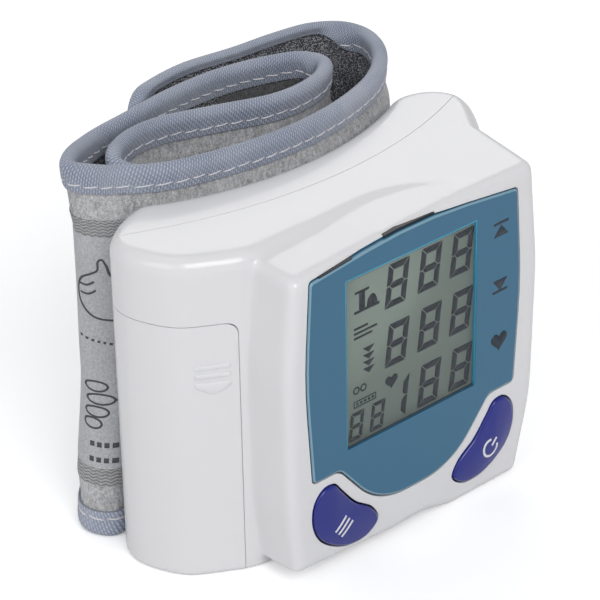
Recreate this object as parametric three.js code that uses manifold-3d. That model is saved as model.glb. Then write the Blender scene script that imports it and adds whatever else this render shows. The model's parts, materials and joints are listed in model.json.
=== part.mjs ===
// Wrist blood pressure monitor, standing on its lower end with its cuff rolled up behind it.
// Sizes are in millimetres, +Z is up and the display faces -Y.
// Outlines in plan are written as [x, depth], where depth runs back from the face of the display block.
import * as THREE from 'three';
import { mergeVertices } from 'three/addons/utils/BufferGeometryUtils.js';
import Module from 'manifold-3d';

const wasm = await Module();
wasm.setup();

// Clearances that the whole product shares, and how far cuts run past what they cut
const fit = { seat: 0.3, running: 0.35, weld: 0.4, least: 0.25, overrun: 6 };
// How finely curved outlines and round pieces are divided
const detail = {
  wing: 26,
  hollow: 10,
  rightWing: 18,
  sweep: 12,
  parting: 24,
  button: 28,
  edge: 3,
  round: 16,
  wire: 8,
  wireSides: 5,
  tubeSides: 8,
  tubeSteps: 2,
  band: 2,
};

// A battery cell, which sets the height of the bay and of the housing around it
const cell = { radius: 5.25, length: 44.5, nubRadius: 1.9, nubHeight: 1, edge: 0.6 };

// Moulded housing: two wings beside a display block, hollowed behind for the wrist
const housing = {
  endRoom: 20.5,
  leftReach: 44.6,
  rightReach: 41.6,
  depth: 38.1,
  backDepth: 30.5,
  wristRadius: 67,
  wall: 1.8,
  topEdge: 2.8,
  bottomEdge: 0.8,
  partingDepth: 21.4,
  partingRadius: 95,
  standDepth: 16,
};
housing.height = cell.length + housing.endRoom;
// Ends of the wrist hollow, as shares of the two reaches
const hollowShares = { left: 0.594, right: 0.637 };
const leftWingShares = [
  [-0.49, 0.262], [-0.655, 0.268], [-0.798, 0.349], [-0.917, 0.446], [-0.980, 0.585], [-1, 0.714],
  [-0.969, 0.829], [-0.888, 0.916], [-0.789, 0.976], [-0.700, 1],
];
const rightWingShares = [
  [0.764, 1], [0.887, 0.974], [0.959, 0.911], [1, 0.819], [0.983, 0.719], [0.928, 0.612], [0.834, 0.470],
];

// Display block that stands out in front of the wings
const block = {
  halfWidth: 30.5,
  proud: 10.2,
  depth: 20,
  faceWall: 3.2,
  faceEdge: 2,
  sideFlare: 4.4,
  leftRise: 0.9,
};
// Corners as shares of the half width and of the height, with their radii as shares of the height
const blockCornerShares = [
  [-0.957, 0.045, 0.015], [-1.003, 0.246, 0.92], [-1.010, 0.677, 0.92], [-0.951, 0.963, 0.034],
  [-0.262, 0.984, 0.92], [0.426, 1, 0.185], [0.984, 1, 0.034], [1.049, 0.677, 0.92], [1.023, 0.246, 0.62],
  [0.892, 0, 0.018], [0.311, 0, 0.062], [0.098, 0.026, 0.062], [-0.197, 0.023, 0.46],
];
// The high part of the housing's top runs forward over the right half of the block in one long sweep
const sweepCornerShares = [[0.86, 0.9], [0.84, 0.3]];
const sweepShares = [
  [0.447, 0.275], [0.348, 0.451], [0.245, 0.706], [0.083, 0.931], [-0.132, 1], [-0.397, 0.97], [-0.6, 0.985],
];

// Tinted display lens, set into the face of the block
const lens = { halfWidth: 26.7, thickness: 1.5, proud: 0.25, edge: 0.4 };
// Its right half: width as a share of its own, height and radius as shares of the housing's height
const lensCornerShares = [
  [0.951, 0.945, 0.015], [1, 0.646, 1.54], [0.948, 0.323, 0.015], [0.708, 0.323, 0.046], [0.348, 0.148, 0.277],
];
const lensPeakShares = [0, 0.989, 1.85];

// Liquid crystal display behind its window
const display = {
  windowWidth: 32.5,
  windowHeight: 34.4,
  windowOffset: -1.15,
  windowDrop: 6.1,
  glassMargin: 1.6,
  glassLap: 1.2,
  glassThickness: 2.4,
  holderWall: 1,
  holderLedge: 1.6,
  holderDepth: 7.35,
  zebraHeight: 1.8,
};

// Push buttons below the lens
const button = {
  offset: 17.6,
  centreZ: 11.3,
  width: 15.7,
  height: 14.6,
  crown: 1,
  crownEdge: 1.7,
  flange: 0.9,
  flangeThickness: 0.8,
  postRadius: 1.6,
  postLength: 0.4,
};
const buttonShares = [
  [-0.178, 0.493], [-0.331, 0.5], [-0.465, 0.356], [-0.497, 0.082], [-0.401, -0.185], [-0.191, -0.377],
  [0.070, -0.486], [0.331, -0.473], [0.497, -0.322], [0.408, -0.130], [0.146, 0.082], [-0.064, 0.349],
];
const crownShares = [[0, 0], [0.3, 0.6], [0.7, 0.9], [1, 1]];
const pushSwitch = { width: 6.2, bodyDepth: 2.5, holeDepth: 2, plungerRadius: 1.5, plungerLength: 2.3 };

// Circuit board and what is soldered to it
const board = { halfWidth: 21.3, low: 8.4, topRoom: 5, thickness: 1.6, corner: 2 };
const chip = { width: 10, height: 10, depth: 1.3, x: 4, z: 30 };
const sensor = { width: 7.4, height: 7.4, depth: 4, x: -12 };
const buzzer = { radius: 6, depth: 3.2, holeRadius: 1, holeDepth: 1.6, x: -12, z: 22 };

// Battery bay in the left wing: two cells upright, one behind the other
const bay = {
  endRoom: 9.1,
  rearDepth: 28.8,
  cellGap: 0.34,
  sideWall: 1.15,
  inset: 2.45,
  floor: 2.1,
  floorThickness: 1.3,
  ceilingThickness: 1.2,
  plate: 0.4,
  springHeight: 3.2,
  boreClearance: 0.3,
};
const bayShares = { frontCellTurn: 0.149, plateRadius: 0.6 };
bay.rearCell = [bay.endRoom - housing.leftReach, bay.rearDepth];
bay.frontCell = (() => {
  const angle = bayShares.frontCellTurn * Math.PI;
  const apart = cell.radius * 2 + bay.cellGap;
  return [bay.rearCell[0] + apart * Math.sin(angle), bay.rearCell[1] - apart * Math.cos(angle)];
})();
bay.wallX = bay.frontCell[0] + cell.radius + bay.sideWall;
const spring = { radius: 3, wire: 0.35 };
const springShares = { turns: 3, top: 0.72 };

// Battery cover, which slides down off the wing
const cover = {
  aboveCell: 7.5,
  seamRoom: 12.6,
  gap: 0.3,
  corner: 2.5,
  rebate: 0.95,
  tongue: 0.8,
  tongueReach: 1.5,
  tongueLow: 0.8,
  tongueTop: 2,
  wingEnd: 5.4,
  markHeight: 0.3,
  markRoom: 6.6,
  markDepth: 15.2,
  markDrop: 7.6,
  markWidth: 7.6,
  markBar: 0.8,
  markPitch: 1.5,
  markPoint: 2.2,
};
cover.height = cell.length + cover.aboveCell;
cover.seamX = cover.seamRoom - housing.leftReach;

// Screws that hold the rear housing to the front one, and where they stand: in from the sides and ends
const screw = { radius: 1.1, headRadius: 2.3, headHeight: 1.5, length: 11, bossRadius: 2.6, boreSeat: 3 };
const screwPlaces = (() => {
  const room = {
    left: 20.1,
    right: 12.1,
    middle: 5.8,
    top: 6,
    topRight: 6.4,
    low: 5.4,
    lowRight: 6,
    lowSide: 12.6,
  };
  return [
    [room.left - housing.leftReach, housing.height - room.top],
    [housing.rightReach - room.right, housing.height - room.topRight],
    [-room.middle, room.low],
    [housing.rightReach - room.lowSide, room.lowRight],
  ];
})();

// Air system
const motor = {
  radius: 7.8,
  length: 24,
  x: 24.6,
  depth: 21.4,
  z: 10.6,
  shaftRadius: 1,
  shaftLength: 1.2,
  edge: 1,
};
const pumpHead = { radius: 8.2, height: 12, edge: 1.2 };
const valve = { width: 9, depth: 10, height: 14, z: 6 };
const tee = { x: 6, depth: 18, z: 46, radius: 2.8, height: 6 };
const port = { radius: 1.3, length: 3 };
const tube = { radius: 2.3, bore: 1.75 };
const nozzle = { flangeRadius: 3.2, flangeThickness: 0.8, length: 6, reach: 2.6 };
const cradle = { width: 3, low: 14, high: 28 };

// Cuff: a soft band, folded and rolled up behind the housing
const cuff = {
  rise: 5.5,
  halfSpan: 39,
  nearDepth: 33.5,
  farDepth: 65.7,
  leanAcross: 9.2,
  leanForward: 8.6,
  cloth: 0.6,
  core: 1.5,
  puff: 1.2,
  thickPuff: 2.6,
  shoulder: 6,
  tape: 5.5,
  tapeWall: 0.5,
  tapeSeat: 0.35,
  plate: 0.8,
  bladder: 0.8,
  plateRoom: 13.5,
  tailDrop: 3.2,
  pegRadius: 1.4,
  pegSeat: 2.25,
  pegOffset: 15,
  pegRoom: 21,
  label: 0.3,
  labelRoom: 13.5,
  patch: 0.5,
  patchRoom: 7,
};
cuff.height = housing.height + cuff.rise;
// The band's middle line at the top rim, from its outer end round to its tucked tail:
// shares of the half span, and of the way from the nearest to the farthest depth
const bandShares = [
  [-0.303, 0.891], [-0.113, 0.953], [0.162, 1], [0.469, 0.972], [0.692, 0.944], [0.882, 0.879], [0.985, 0.773],
  [0.997, 0.637], [0.946, 0.494], [0.836, 0.314], [0.667, 0.158], [0.359, 0.040], [0.013, 0], [-0.333, 0.043],
  [-0.628, 0.143], [-0.792, 0.245], [-0.903, 0.366], [-0.921, 0.488], [-0.846, 0.562], [-0.677, 0.640],
  [-0.410, 0.717], [-0.123, 0.789], [0.195, 0.767], [0.462, 0.696], [0.587, 0.587], [0.590, 0.419],
  [0.503, 0.276], [0.369, 0.217], [0.164, 0.283], [-0.128, 0.438], [-0.410, 0.540], [-0.579, 0.525],
  [-0.708, 0.457], [-0.751, 0.376], [-0.692, 0.307], [-0.513, 0.230], [-0.256, 0.155], [0.051, 0.121],
];
// How far the left fold stands off at the bottom rim, from one point of the band on
const leanStart = 15;
const leanShares = [[0.07, 0.02], [0.67, 1], [0.87, 1], [1, 0.79], [0.17, 0.14]];
// How full the band is between its rims
const shoulderShare = 0.9;
// Where its pieces start and end, counted in points of the band
const stretch = {
  thick: [2, 15],
  plate: [10.5, 14],
  bladder: [3, 14],
  label: [16, 18.5],
  patch: [22, 24],
  tail: [32, 36],
};

// Finishes
const finish = (color, roughness, metalness = 0) =>
  new THREE.MeshStandardMaterial({ color, roughness, metalness });
const finishes = {
  whitePlastic: finish(0xe6e6e9, 0.25),
  lensPlastic: finish(0x3f728f, 0.15),
  buttonPlastic: finish(0x2b2c86, 0.2),
  glass: finish(0x8a948a, 0.1),
  greyPlastic: finish(0x8d9094, 0.6),
  darkPlastic: finish(0x26272b, 0.5),
  boardLaminate: finish(0x1f5a3a, 0.5),
  silicone: finish(0xd9d9d2, 0.6),
  steel: finish(0xb9bcc1, 0.3, 1),
  brass: finish(0xc0a35a, 0.35, 1),
  cellWrap: finish(0x3a3f4a, 0.35, 0.3),
  felt: finish(0x96979a, 0.95),
  mesh: finish(0x2b2b2f, 0.8),
  tape: finish(0x8793ac, 0.85),
  label: finish(0xc3c4c7, 0.6),
};

// Outlines

const scaled = (shares, across, along) => shares.map(([x, y]) => [x * across, y * along]);
const cornersFrom = (shares, across) => shares.map(([x, z, radius]) => [
  x * across, z * housing.height, radius * housing.height]);
const mirrored = outline => outline.map(([x, y, ...rest]) => [-x, y, ...rest]).reverse();
const vectors = outline => outline.map(([x, y]) => new THREE.Vector2(x, y));
const lerp = THREE.MathUtils.lerp;
const between = (low, high, steps) => Array.from({ length: steps + 1 }, (_, k) => lerp(low, high, k / steps));

// Points on one smooth curve through a few chosen points
function curveThrough(points, steps, closed = false) {
  const through = points.map(([x, y]) => new THREE.Vector3(x, y, 0));
  const curve = new THREE.CatmullRomCurve3(through, closed, 'centripetal');
  const made = curve.getPoints(steps).map(({ x, y }) => [x, y]);
  return closed ? made.slice(0, -1) : made;
}

// An outline from corners [x, y, radius], each rounded by its radius
function roundedOutline(corners, stepAngle = Math.PI / 12) {
  return corners.flatMap(([x, y, radius], i) => {
    const here = new THREE.Vector2(x, y);
    const [before, after] = [corners.at(i - 1), corners[(i + 1) % corners.length]];
    const back = new THREE.Vector2(before[0], before[1]).sub(here);
    const ahead = new THREE.Vector2(after[0], after[1]).sub(here);
    const bend = Math.PI - back.angleTo(ahead);
    const reach = Math.min(radius * Math.tan(bend / 2), back.length() / 2, ahead.length() / 2);
    const start = here.clone().addScaledVector(back.normalize(), reach);
    const end = here.clone().addScaledVector(ahead.normalize(), reach);
    const steps = Math.max(2, Math.round(bend / stepAngle + 0.3));
    return new THREE.QuadraticBezierCurve(start, here, end).getPoints(steps).map(p => [p.x, p.y]);
  });
}

// The same outline, moved inwards; anything after x and y goes through untouched
function inset(outline, distance) {
  const inward = THREE.ShapeUtils.area(vectors(outline)) > 0 ? distance : -distance;
  const heading = (a, b) => new THREE.Vector2(b[0] - a[0], b[1] - a[1]).normalize();
  return outline.map((point, i) => {
    const arriving = heading(outline.at(i - 1), point);
    const leaving = heading(point, outline[(i + 1) % outline.length]);
    const reach = inward / (1 + arriving.dot(leaving));
    const [x, y, ...rest] = point;
    return [x - (arriving.y + leaving.y) * reach, y + (arriving.x + leaving.x) * reach, ...rest];
  });
}

// Corners moved inwards, each keeping a radius of its own
function insetCorners(corners, distance) {
  return inset(corners, distance).map(([x, y, radius]) => [x, y, Math.max(radius - distance, fit.least)]);
}

const rectangle = (left, low, right, high, radius) => [
  [left, low, radius], [right, low, radius], [right, high, radius], [left, high, radius],
];

// Solids

const upright = (x, depth, z) => [x, depth, z];
const backwards = (x, z, depth) => [x, depth, z];

// One closed skin over rings that hold the same number of points
function skin(rings, flat = null) {
  const count = rings[0].length;
  const index = [];
  for (let i = 0; i < rings.length - 1; i++) {
    for (let j = 0; j < count; j++) {
      const a = i * count + j;
      const b = i * count + (j + 1) % count;
      index.push(a, b, b + count, a, b + count, a + count);
    }
  }
  for (const end of [0, rings.length - 1]) {
    const contour = vectors(flat ?? rings[end]);
    const faces = THREE.ShapeUtils.triangulateShape(contour, []);
    const covered = faces.reduce((sum, face) => sum + THREE.ShapeUtils.area(face.map(k => contour[k])), 0);
    const forward = (covered * THREE.ShapeUtils.area(contour) > 0) === (end > 0);
    faces.forEach(([a, b, c]) => index.push(...(forward ? [a, b, c] : [a, c, b]).map(k => end * count + k)));
  }
  const geometry = new THREE.BufferGeometry();
  geometry.setAttribute('position', new THREE.Float32BufferAttribute(rings.flat(2), 3));
  geometry.setIndex(index);
  return solid(geometry);
}

// Turns a closed geometry into a solid with its faces pointing out
function solid(geometry) {
  const bare = geometry.clone();
  ['normal', 'uv'].forEach(name => bare.deleteAttribute(name));
  const merged = mergeVertices(bare);
  const at = merged.attributes.position;
  const triangles = [];
  for (let i = 0; i < merged.index.count; i += 3) {
    const [a, b, c] = [0, 1, 2].map(k => merged.index.getX(i + k));
    if (a !== b && b !== c && c !== a) triangles.push([a, b, c]);
  }
  const corner = k => new THREE.Vector3().fromBufferAttribute(at, k);
  const volume = triangles.reduce((sum, [a, b, c]) => sum + corner(a).dot(corner(b).cross(corner(c))), 0);
  const triVerts = Uint32Array.from(triangles.flatMap(([a, b, c]) => (volume > 0 ? [a, b, c] : [a, c, b])));
  return new wasm.Manifold(new wasm.Mesh({ numProp: 3, vertProperties: new Float32Array(at.array), triVerts }));
}

const join = (...solids) => solids.reduce((a, b) => a.add(b));
const cut = (body, ...tools) => tools.reduce((a, b) => a.subtract(b), body);
const meet = (...solids) => solids.reduce((a, b) => a.intersect(b));

// Levels of an outline, [distance inset, place along the axis], stacked into one solid
function stack(outline, levels, place) {
  const rings = levels.map(([distance, along]) => outline(distance).map(([x, y]) => place(x, y, along)));
  return skin(rings, outline(levels[0][0]));
}

// Levels of a rounded edge that starts at `from` and ends on the wall
function edgeLevels(radius, from, direction, steps = detail.edge) {
  if (radius <= 0) return [[0, from]];
  return between(0, Math.PI / 2, steps).map(angle => [
    radius * (1 - Math.sin(angle)), from + direction * radius * (1 - Math.cos(angle))]);
}

// An upright or lying prism of an outline, with rounded edges at its two ends
function prism(outline, from, to, fromEdge = 0, toEdge = 0, place = upright) {
  return stack(outline, [...edgeLevels(fromEdge, from, 1), ...edgeLevels(toEdge, to, -1).reverse()], place);
}

const corners = list => distance => roundedOutline(insetCorners(list, distance));
const fixed = outline => () => outline;

// A turned piece: profile of [radius, place along the axis]
function turned(profile, centre, place, segments = 16) {
  const geometry = new THREE.LatheGeometry(vectors(profile), segments);
  const at = geometry.attributes.position;
  for (let i = 0; i < at.count; i++) {
    at.setXYZ(i, ...place(centre[0] + at.getX(i), centre[1] + at.getZ(i), at.getY(i)));
  }
  return solid(geometry);
}

const rod = (radius, from, to, centre, place, segments) => turned(
  [[0, from], [radius, from], [radius, to], [0, to]], centre, place, segments);

const block3 = (left, front, low, right, back, high) => prism(
  fixed([[left, front], [right, front], [right, back], [left, back]]), low, high);

const curveAlong = route => new THREE.CatmullRomCurve3(route.map(point => new THREE.Vector3(...point)), false,
  'centripetal');

// A round section carried along a route of points [x, depth, z]
function hose(route, radius, steps, sides) {
  const section = new THREE.Shape(vectors(circle(radius, sides)));
  return solid(new THREE.ExtrudeGeometry(section, { steps, extrudePath: curveAlong(route) }));
}

const circle = (radius, sides) => Array.from({ length: sides }, (_, k) => {
  const angle = (k / sides) * 2 * Math.PI;
  return [radius * Math.cos(angle), radius * Math.sin(angle)];
});

// Housing

const arcRise = (radius, x) => radius - Math.sqrt(radius ** 2 - x ** 2);
const wristDepth = x => housing.backDepth + arcRise(housing.wristRadius, x);
const partingDepth = x => housing.partingDepth + arcRise(housing.partingRadius, x);

const planPoints = (() => {
  const [left, right] = [-housing.leftReach * hollowShares.left, housing.rightReach * hollowShares.right];
  const hollow = between(left, right, detail.hollow).map(x => [x, wristDepth(x)]);
  const onBlock = shares => scaled(shares, block.halfWidth, block.proud);
  const leftWing = scaled(leftWingShares, housing.leftReach, housing.depth);
  const rightWing = scaled(rightWingShares, housing.rightReach, housing.depth);
  const leftEnd = curveThrough([...leftWing, hollow[0]], detail.wing);
  const rightEnd = curveThrough([hollow.at(-1), ...rightWing], detail.rightWing);
  const sweep = curveThrough(onBlock(sweepShares), detail.sweep);
  return [...leftEnd, ...hollow.slice(1, -1), ...rightEnd, ...onBlock(sweepCornerShares), ...sweep];
})();
const plan = distance => inset(planPoints, distance);

const blockFront = corners(cornersFrom(blockCornerShares, block.halfWidth));

// The block's right side flares and its low left shoulder rises towards the wings
const flared = (x, z, depth) => {
  const share = depth / block.depth;
  const flare = x > 0 ? block.sideFlare * share * x / block.halfWidth : 0;
  const rise = x < 0 ? block.leftRise * share * (-x / block.halfWidth) * (2 * z / housing.height - 1) : 0;
  return [x + flare, depth, z + rise];
};

function housingForm(depthIn, faceIn) {
  const round = radius => (depthIn > 0 ? 0 : radius);
  const body = prism(d => plan(d + depthIn), depthIn, housing.height - depthIn,
    round(housing.bottomEdge), round(housing.topEdge));
  const face = prism(d => blockFront(d + depthIn), faceIn, block.depth, round(block.faceEdge), 0, flared);
  return join(body, face);
}

const outerForm = housingForm(0, 0);
const innerForm = housingForm(housing.wall, block.faceWall);
const shell = cut(outerForm, innerForm);

// Everything on one side of the parting line, moved by a gap
function partingSide(back, gap) {
  const reach = housing.leftReach + fit.overrun;
  const line = between(-reach, reach, detail.parting).map(x => [x, partingDepth(x) + gap]);
  const far = back ? housing.depth + fit.overrun : -fit.overrun;
  return prism(fixed([...line, [reach, far], [-reach, far]]), -fit.overrun, housing.height + fit.overrun);
}

const coverCorners = grow => {
  const far = -housing.leftReach - fit.overrun;
  const [seam, top] = [cover.seamX + grow, cover.height + grow];
  return [
    [far, -fit.overrun, fit.least], [seam, -fit.overrun, fit.least], [seam, top, cover.corner], [far, top, fit.least],
  ];
};
const coverRegion = grow => meet(
  prism(fixed(roundedOutline(coverCorners(grow))), -fit.overrun, housing.depth + fit.overrun, 0, 0, backwards),
  partingSide(false, 0),
);

// Edges of the cover: the seam beside the block, and the parting line at the wing's end
function coverEdges(reach) {
  const seamSide = block3(cover.seamX - reach, 0, -fit.overrun, cover.seamX + reach,
    housing.partingDepth - cover.tongueReach, housing.height);
  const wingEnd = block3(-housing.leftReach, 0, -fit.overrun, cover.wingEnd - housing.leftReach, housing.depth,
    housing.height);
  return join(seamSide, meet(partingSide(true, -reach), partingSide(false, reach), wingEnd));
}

// A layer of the wall between two distances from the outside
const wallLayer = (outside, inside, low, high) => cut(prism(d => plan(d + outside), low, high),
  prism(d => plan(d + inside), low - fit.overrun, high + fit.overrun));

// Thin tongues on the cover slide behind the rebated edges of both housings
function coverTongues() {
  const outside = cover.rebate + fit.seat;
  return meet(wallLayer(outside, outside + cover.tongue, cover.tongueLow, cover.height - cover.tongueTop),
    coverEdges(cover.tongueReach));
}

// Room for the tongues, open below so that they can slide down
const tonguePath = meet(wallLayer(cover.rebate, cover.rebate + cover.tongue + fit.seat * 2, -fit.overrun,
  cover.height - cover.tongueTop + fit.seat), coverEdges(cover.tongueReach + fit.seat));

// Raised slide mark: two bars over a broad arrow that points down
function slideMark() {
  const half = cover.markWidth / 2;
  const markX = cover.markRoom - housing.leftReach;
  const bar = z => [[-half, z], [half, z], [half, z + cover.markBar], [-half, z + cover.markBar]];
  const arrow = [[-half, 0], [-half, cover.markBar], [half, cover.markBar], [half, 0], [0, -cover.markPoint]];
  const relief = cut(prism(d => plan(d - cover.markHeight), 0, housing.height),
    prism(d => plan(d + fit.weld), -fit.overrun, housing.height + fit.overrun));
  const slope = (block.proud - cover.markDepth) / (cover.seamX - markX);
  const [along, inward] = [Math.cos(Math.atan(slope)), Math.sin(Math.atan(slope))];
  const toWall = (x, z, out) => [
    markX + x * along + out * inward,
    cover.markDepth + x * inward - out * along,
    cover.height - cover.markDrop + z,
  ];
  const stamps = [bar(cover.markPitch * 2), bar(cover.markPitch), arrow].map(outline => prism(
    fixed(outline), -fit.overrun / 2, fit.overrun / 2, 0, 0, toWall));
  return meet(relief, join(...stamps));
}

const lensCorners = (() => {
  const right = cornersFrom(lensCornerShares, lens.halfWidth);
  return [...cornersFrom([lensPeakShares], lens.halfWidth), ...right, ...mirrored(right)];
})();
const lensOutline = corners(lensCorners);
const lensBack = lens.thickness - lens.proud;
const lensFloor = lensBack + fit.seat;

const windowSides = (() => {
  const high = housing.height - display.windowDrop;
  const half = display.windowWidth / 2;
  const low = high - display.windowHeight;
  return { left: display.windowOffset - half, right: display.windowOffset + half, low, high };
})();
const glassSides = {
  left: windowSides.left - display.glassMargin,
  right: windowSides.right + display.glassMargin,
  low: windowSides.low - display.glassLap,
  high: windowSides.high + display.glassLap,
};
// A frame around the glass, with its own rise above it
const glassFrame = (grow, above = grow) => corners(rectangle(glassSides.left - grow, glassSides.low - grow,
  glassSides.right + grow, glassSides.high + above, fit.least));

const buttonPoints = curveThrough(scaled(buttonShares, button.width, button.height), detail.button, true);
const buttonOutline = side => distance => inset(buttonPoints, distance)
  .map(([x, z]) => [side * (button.offset - x), z + button.centreZ]);

// Bosses of both housings stand on the same axes and meet at the parting line
const screwRods = (radius, from, to, segments = detail.round) => screwPlaces.map(([x, z]) => rod(radius,
  from(x), to(x), [x, z], backwards, segments));
const behindScrew = x => wristDepth(x) + fit.overrun;
const screwSeat = x => partingDepth(x) + screw.boreSeat;

function frontHousing() {
  const bosses = screwRods(screw.bossRadius, () => block.faceWall - fit.weld,
    x => partingDepth(x) + fit.overrun);
  const front = meet(join(shell, meet(outerForm, join(...bosses))), partingSide(false, -fit.seat / 2));
  const tip = x => screwSeat(x) - screw.length - fit.seat * 2;
  const bores = screwRods(screw.radius + fit.seat, tip, behindScrew, 12);
  const behindFace = block.faceWall + fit.weld;
  const holderRoom = fit.seat + display.holderWall + fit.running;
  return cut(front, ...bores,
    prism(d => lensOutline(d - fit.seat), -fit.overrun, lensFloor, 0, 0, backwards),
    prism(glassFrame(holderRoom, fit.running), -fit.overrun, behindFace, 0, 0, backwards),
    ...[-1, 1].map(side => prism(d => buttonOutline(side)(d - fit.running), -fit.overrun, behindFace, 0, 0,
      backwards)),
    coverRegion(cover.gap), tonguePath);
}

function batteryCover() {
  const wall = meet(join(shell, slideMark()), coverRegion(0), partingSide(false, -cover.gap - fit.seat / 2));
  return join(wall, coverTongues());
}

function rearHousing() {
  const bosses = screwRods(screw.headRadius + housing.wall, x => partingDepth(x) - fit.overrun, behindScrew);
  const form = join(shell, meet(outerForm, join(...bosses)), motorCradle(), valveShelf());
  const bores = [
    ...screwRods(screw.radius + fit.seat, x => partingDepth(x) - fit.overrun, behindScrew, 12),
    ...screwRods(screw.headRadius + fit.seat, screwSeat, behindScrew),
  ];
  const pegs = pegPlaces().map(([x, z]) => rod(cuff.pegRadius + fit.running, housing.partingDepth,
    housing.depth + fit.overrun, [x, z], backwards, 10));
  const outlet = rod(port.radius + fit.running, housing.partingDepth, housing.depth, [tee.x, tee.z],
    backwards, 12);
  return cut(meet(form, partingSide(true, fit.seat / 2)), ...bores, ...pegs, outlet, tonguePath);
}

const pegPlaces = () => [-1, 1].flatMap(side => [cuff.pegRoom, cuff.height - cuff.pegRoom].map(z => [
  side * cuff.pegOffset, z]));

function motorCradle() {
  const ribs = [cradle.low, cradle.high].map(z => block3(motor.x - motor.radius + housing.wall, motor.depth, z,
    motor.x + motor.radius - housing.wall, housing.depth, z + cradle.width));
  return cut(meet(outerForm, join(...ribs)),
    rod(motor.radius + fit.seat, -fit.overrun, housing.height, [motor.x, motor.depth], upright, 32));
}

function valveShelf() {
  const behind = tee.depth + valve.depth / 2 + fit.seat;
  const shelf = block3(tee.x - valve.width / 2, behind, cradle.low, tee.x + valve.width / 2, housing.depth,
    cradle.low + cradle.width);
  return meet(outerForm, shelf);
}

// Display, buttons and board

const depths = (() => {
  const glass = lensBack + fit.seat;
  const behindGlass = glass + display.glassThickness + fit.seat;
  const holderBack = glass + display.holderDepth;
  const boardFront = holderBack + fit.seat;
  const switchFront = boardFront - fit.seat - pushSwitch.bodyDepth;
  const flangeFront = block.faceWall + fit.seat;
  const postEnd = flangeFront + button.flangeThickness + button.postLength;
  return { glass, behindGlass, holderBack, boardFront, boardBack: boardFront + board.thickness, switchFront,
    flangeFront, postEnd };
})();

const displayLens = () => prism(lensOutline, -lens.proud, lensBack, lens.edge, 0, backwards);

const lcdGlass = () => prism(glassFrame(0), depths.glass, depths.glass + display.glassThickness, 0, 0,
  backwards);

// Three walls and a ledge: the glass slides in from the top
function lcdHolder() {
  const { holderWall, holderLedge } = display;
  const zebraRoom = display.zebraHeight + fit.seat * 2 + holderWall;
  const ledge = corners(rectangle(glassSides.left + holderLedge, glassSides.low + holderLedge + zebraRoom,
    glassSides.right - holderLedge, glassSides.high - holderLedge, fit.least));
  return cut(
    prism(glassFrame(fit.seat + holderWall, 0), depths.glass, depths.holderBack, 0, 0, backwards),
    prism(glassFrame(fit.seat, fit.overrun), -fit.overrun, depths.behindGlass, 0, 0, backwards),
    prism(ledge, 0, depths.holderBack + fit.overrun, 0, 0, backwards),
    zebra(fit.seat, fit.overrun));
}

function zebra(grow, run) {
  const low = glassSides.low + display.holderLedge;
  return block3(windowSides.left - grow, depths.behindGlass - run, low - grow, windowSides.right + grow,
    depths.holderBack + run, low + display.zebraHeight + grow);
}

function pushButton(side) {
  const outline = buttonOutline(side);
  const { flangeFront, postEnd } = depths;
  const flangeBack = flangeFront + button.flangeThickness;
  const crown = crownShares.map(([rise, across]) => [button.crownEdge * (1 - Math.cos(across * Math.PI / 2)),
    fit.least - (button.crown + fit.least) * Math.sin(rise * Math.PI / 2)]);
  const cap = stack(outline, [[0, flangeFront + fit.weld], ...crown], backwards);
  const flange = meet(prism(d => outline(d - button.flange), flangeFront, flangeBack, 0, 0, backwards),
    housingForm(housing.wall + fit.seat, 0));
  const centre = [side * button.offset, button.centreZ];
  return join(cap, flange, rod(button.postRadius, flangeBack - fit.weld, postEnd, centre, backwards, 12));
}

function switchBody(side) {
  const half = pushSwitch.width / 2;
  const [x, z] = [side * button.offset, button.centreZ];
  const back = depths.boardFront - fit.seat;
  const holeEnd = depths.switchFront + pushSwitch.holeDepth;
  return cut(block3(x - half, depths.switchFront, z - half, x + half, back, z + half),
    rod(pushSwitch.plungerRadius + fit.seat, 0, holeEnd, [x, z], backwards, 12));
}

function switchPlunger(side) {
  const front = depths.postEnd + fit.seat;
  return rod(pushSwitch.plungerRadius, front, front + pushSwitch.plungerLength,
    [side * button.offset, button.centreZ], backwards, 12);
}

const circuitBoard = () => prism(corners(rectangle(-board.halfWidth, board.low, board.halfWidth,
  housing.height - board.topRoom, board.corner)), depths.boardFront, depths.boardBack, 0, 0, backwards);

// A boxed component on the back of the board
function onBoard({ x, z, width, height, depth }) {
  const front = depths.boardBack + fit.seat;
  return block3(x - width / 2, front, z - height / 2, x + width / 2, front + depth, z + height / 2);
}

function pressureSensor() {
  const end = depths.boardBack + fit.seat + sensor.depth;
  return join(onBoard({ ...sensor, z: tee.z }),
    rod(port.radius, end - fit.weld, end + port.length, [sensor.x, tee.z], backwards, 12));
}

function buzzerCan() {
  const front = depths.boardBack + fit.seat;
  return cut(rod(buzzer.radius, front, front + buzzer.depth, [buzzer.x, buzzer.z], backwards, 20),
    rod(buzzer.holeRadius, front + buzzer.depth - buzzer.holeDepth, front + buzzer.depth + fit.overrun,
      [buzzer.x, buzzer.z], backwards, 10));
}

// Battery bay

const bayLevels = (() => {
  const floorTop = bay.floor + bay.floorThickness;
  const plateTop = floorTop + fit.seat + bay.plate;
  const cellLow = plateTop + fit.seat;
  const frontLow = cellLow + bay.springHeight + fit.seat;
  const topPlate = frontLow + cell.length + fit.seat;
  return { floorTop, plateTop, cellLow, frontLow, topPlate, ceiling: topPlate + bay.plate + fit.seat };
})();

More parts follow.
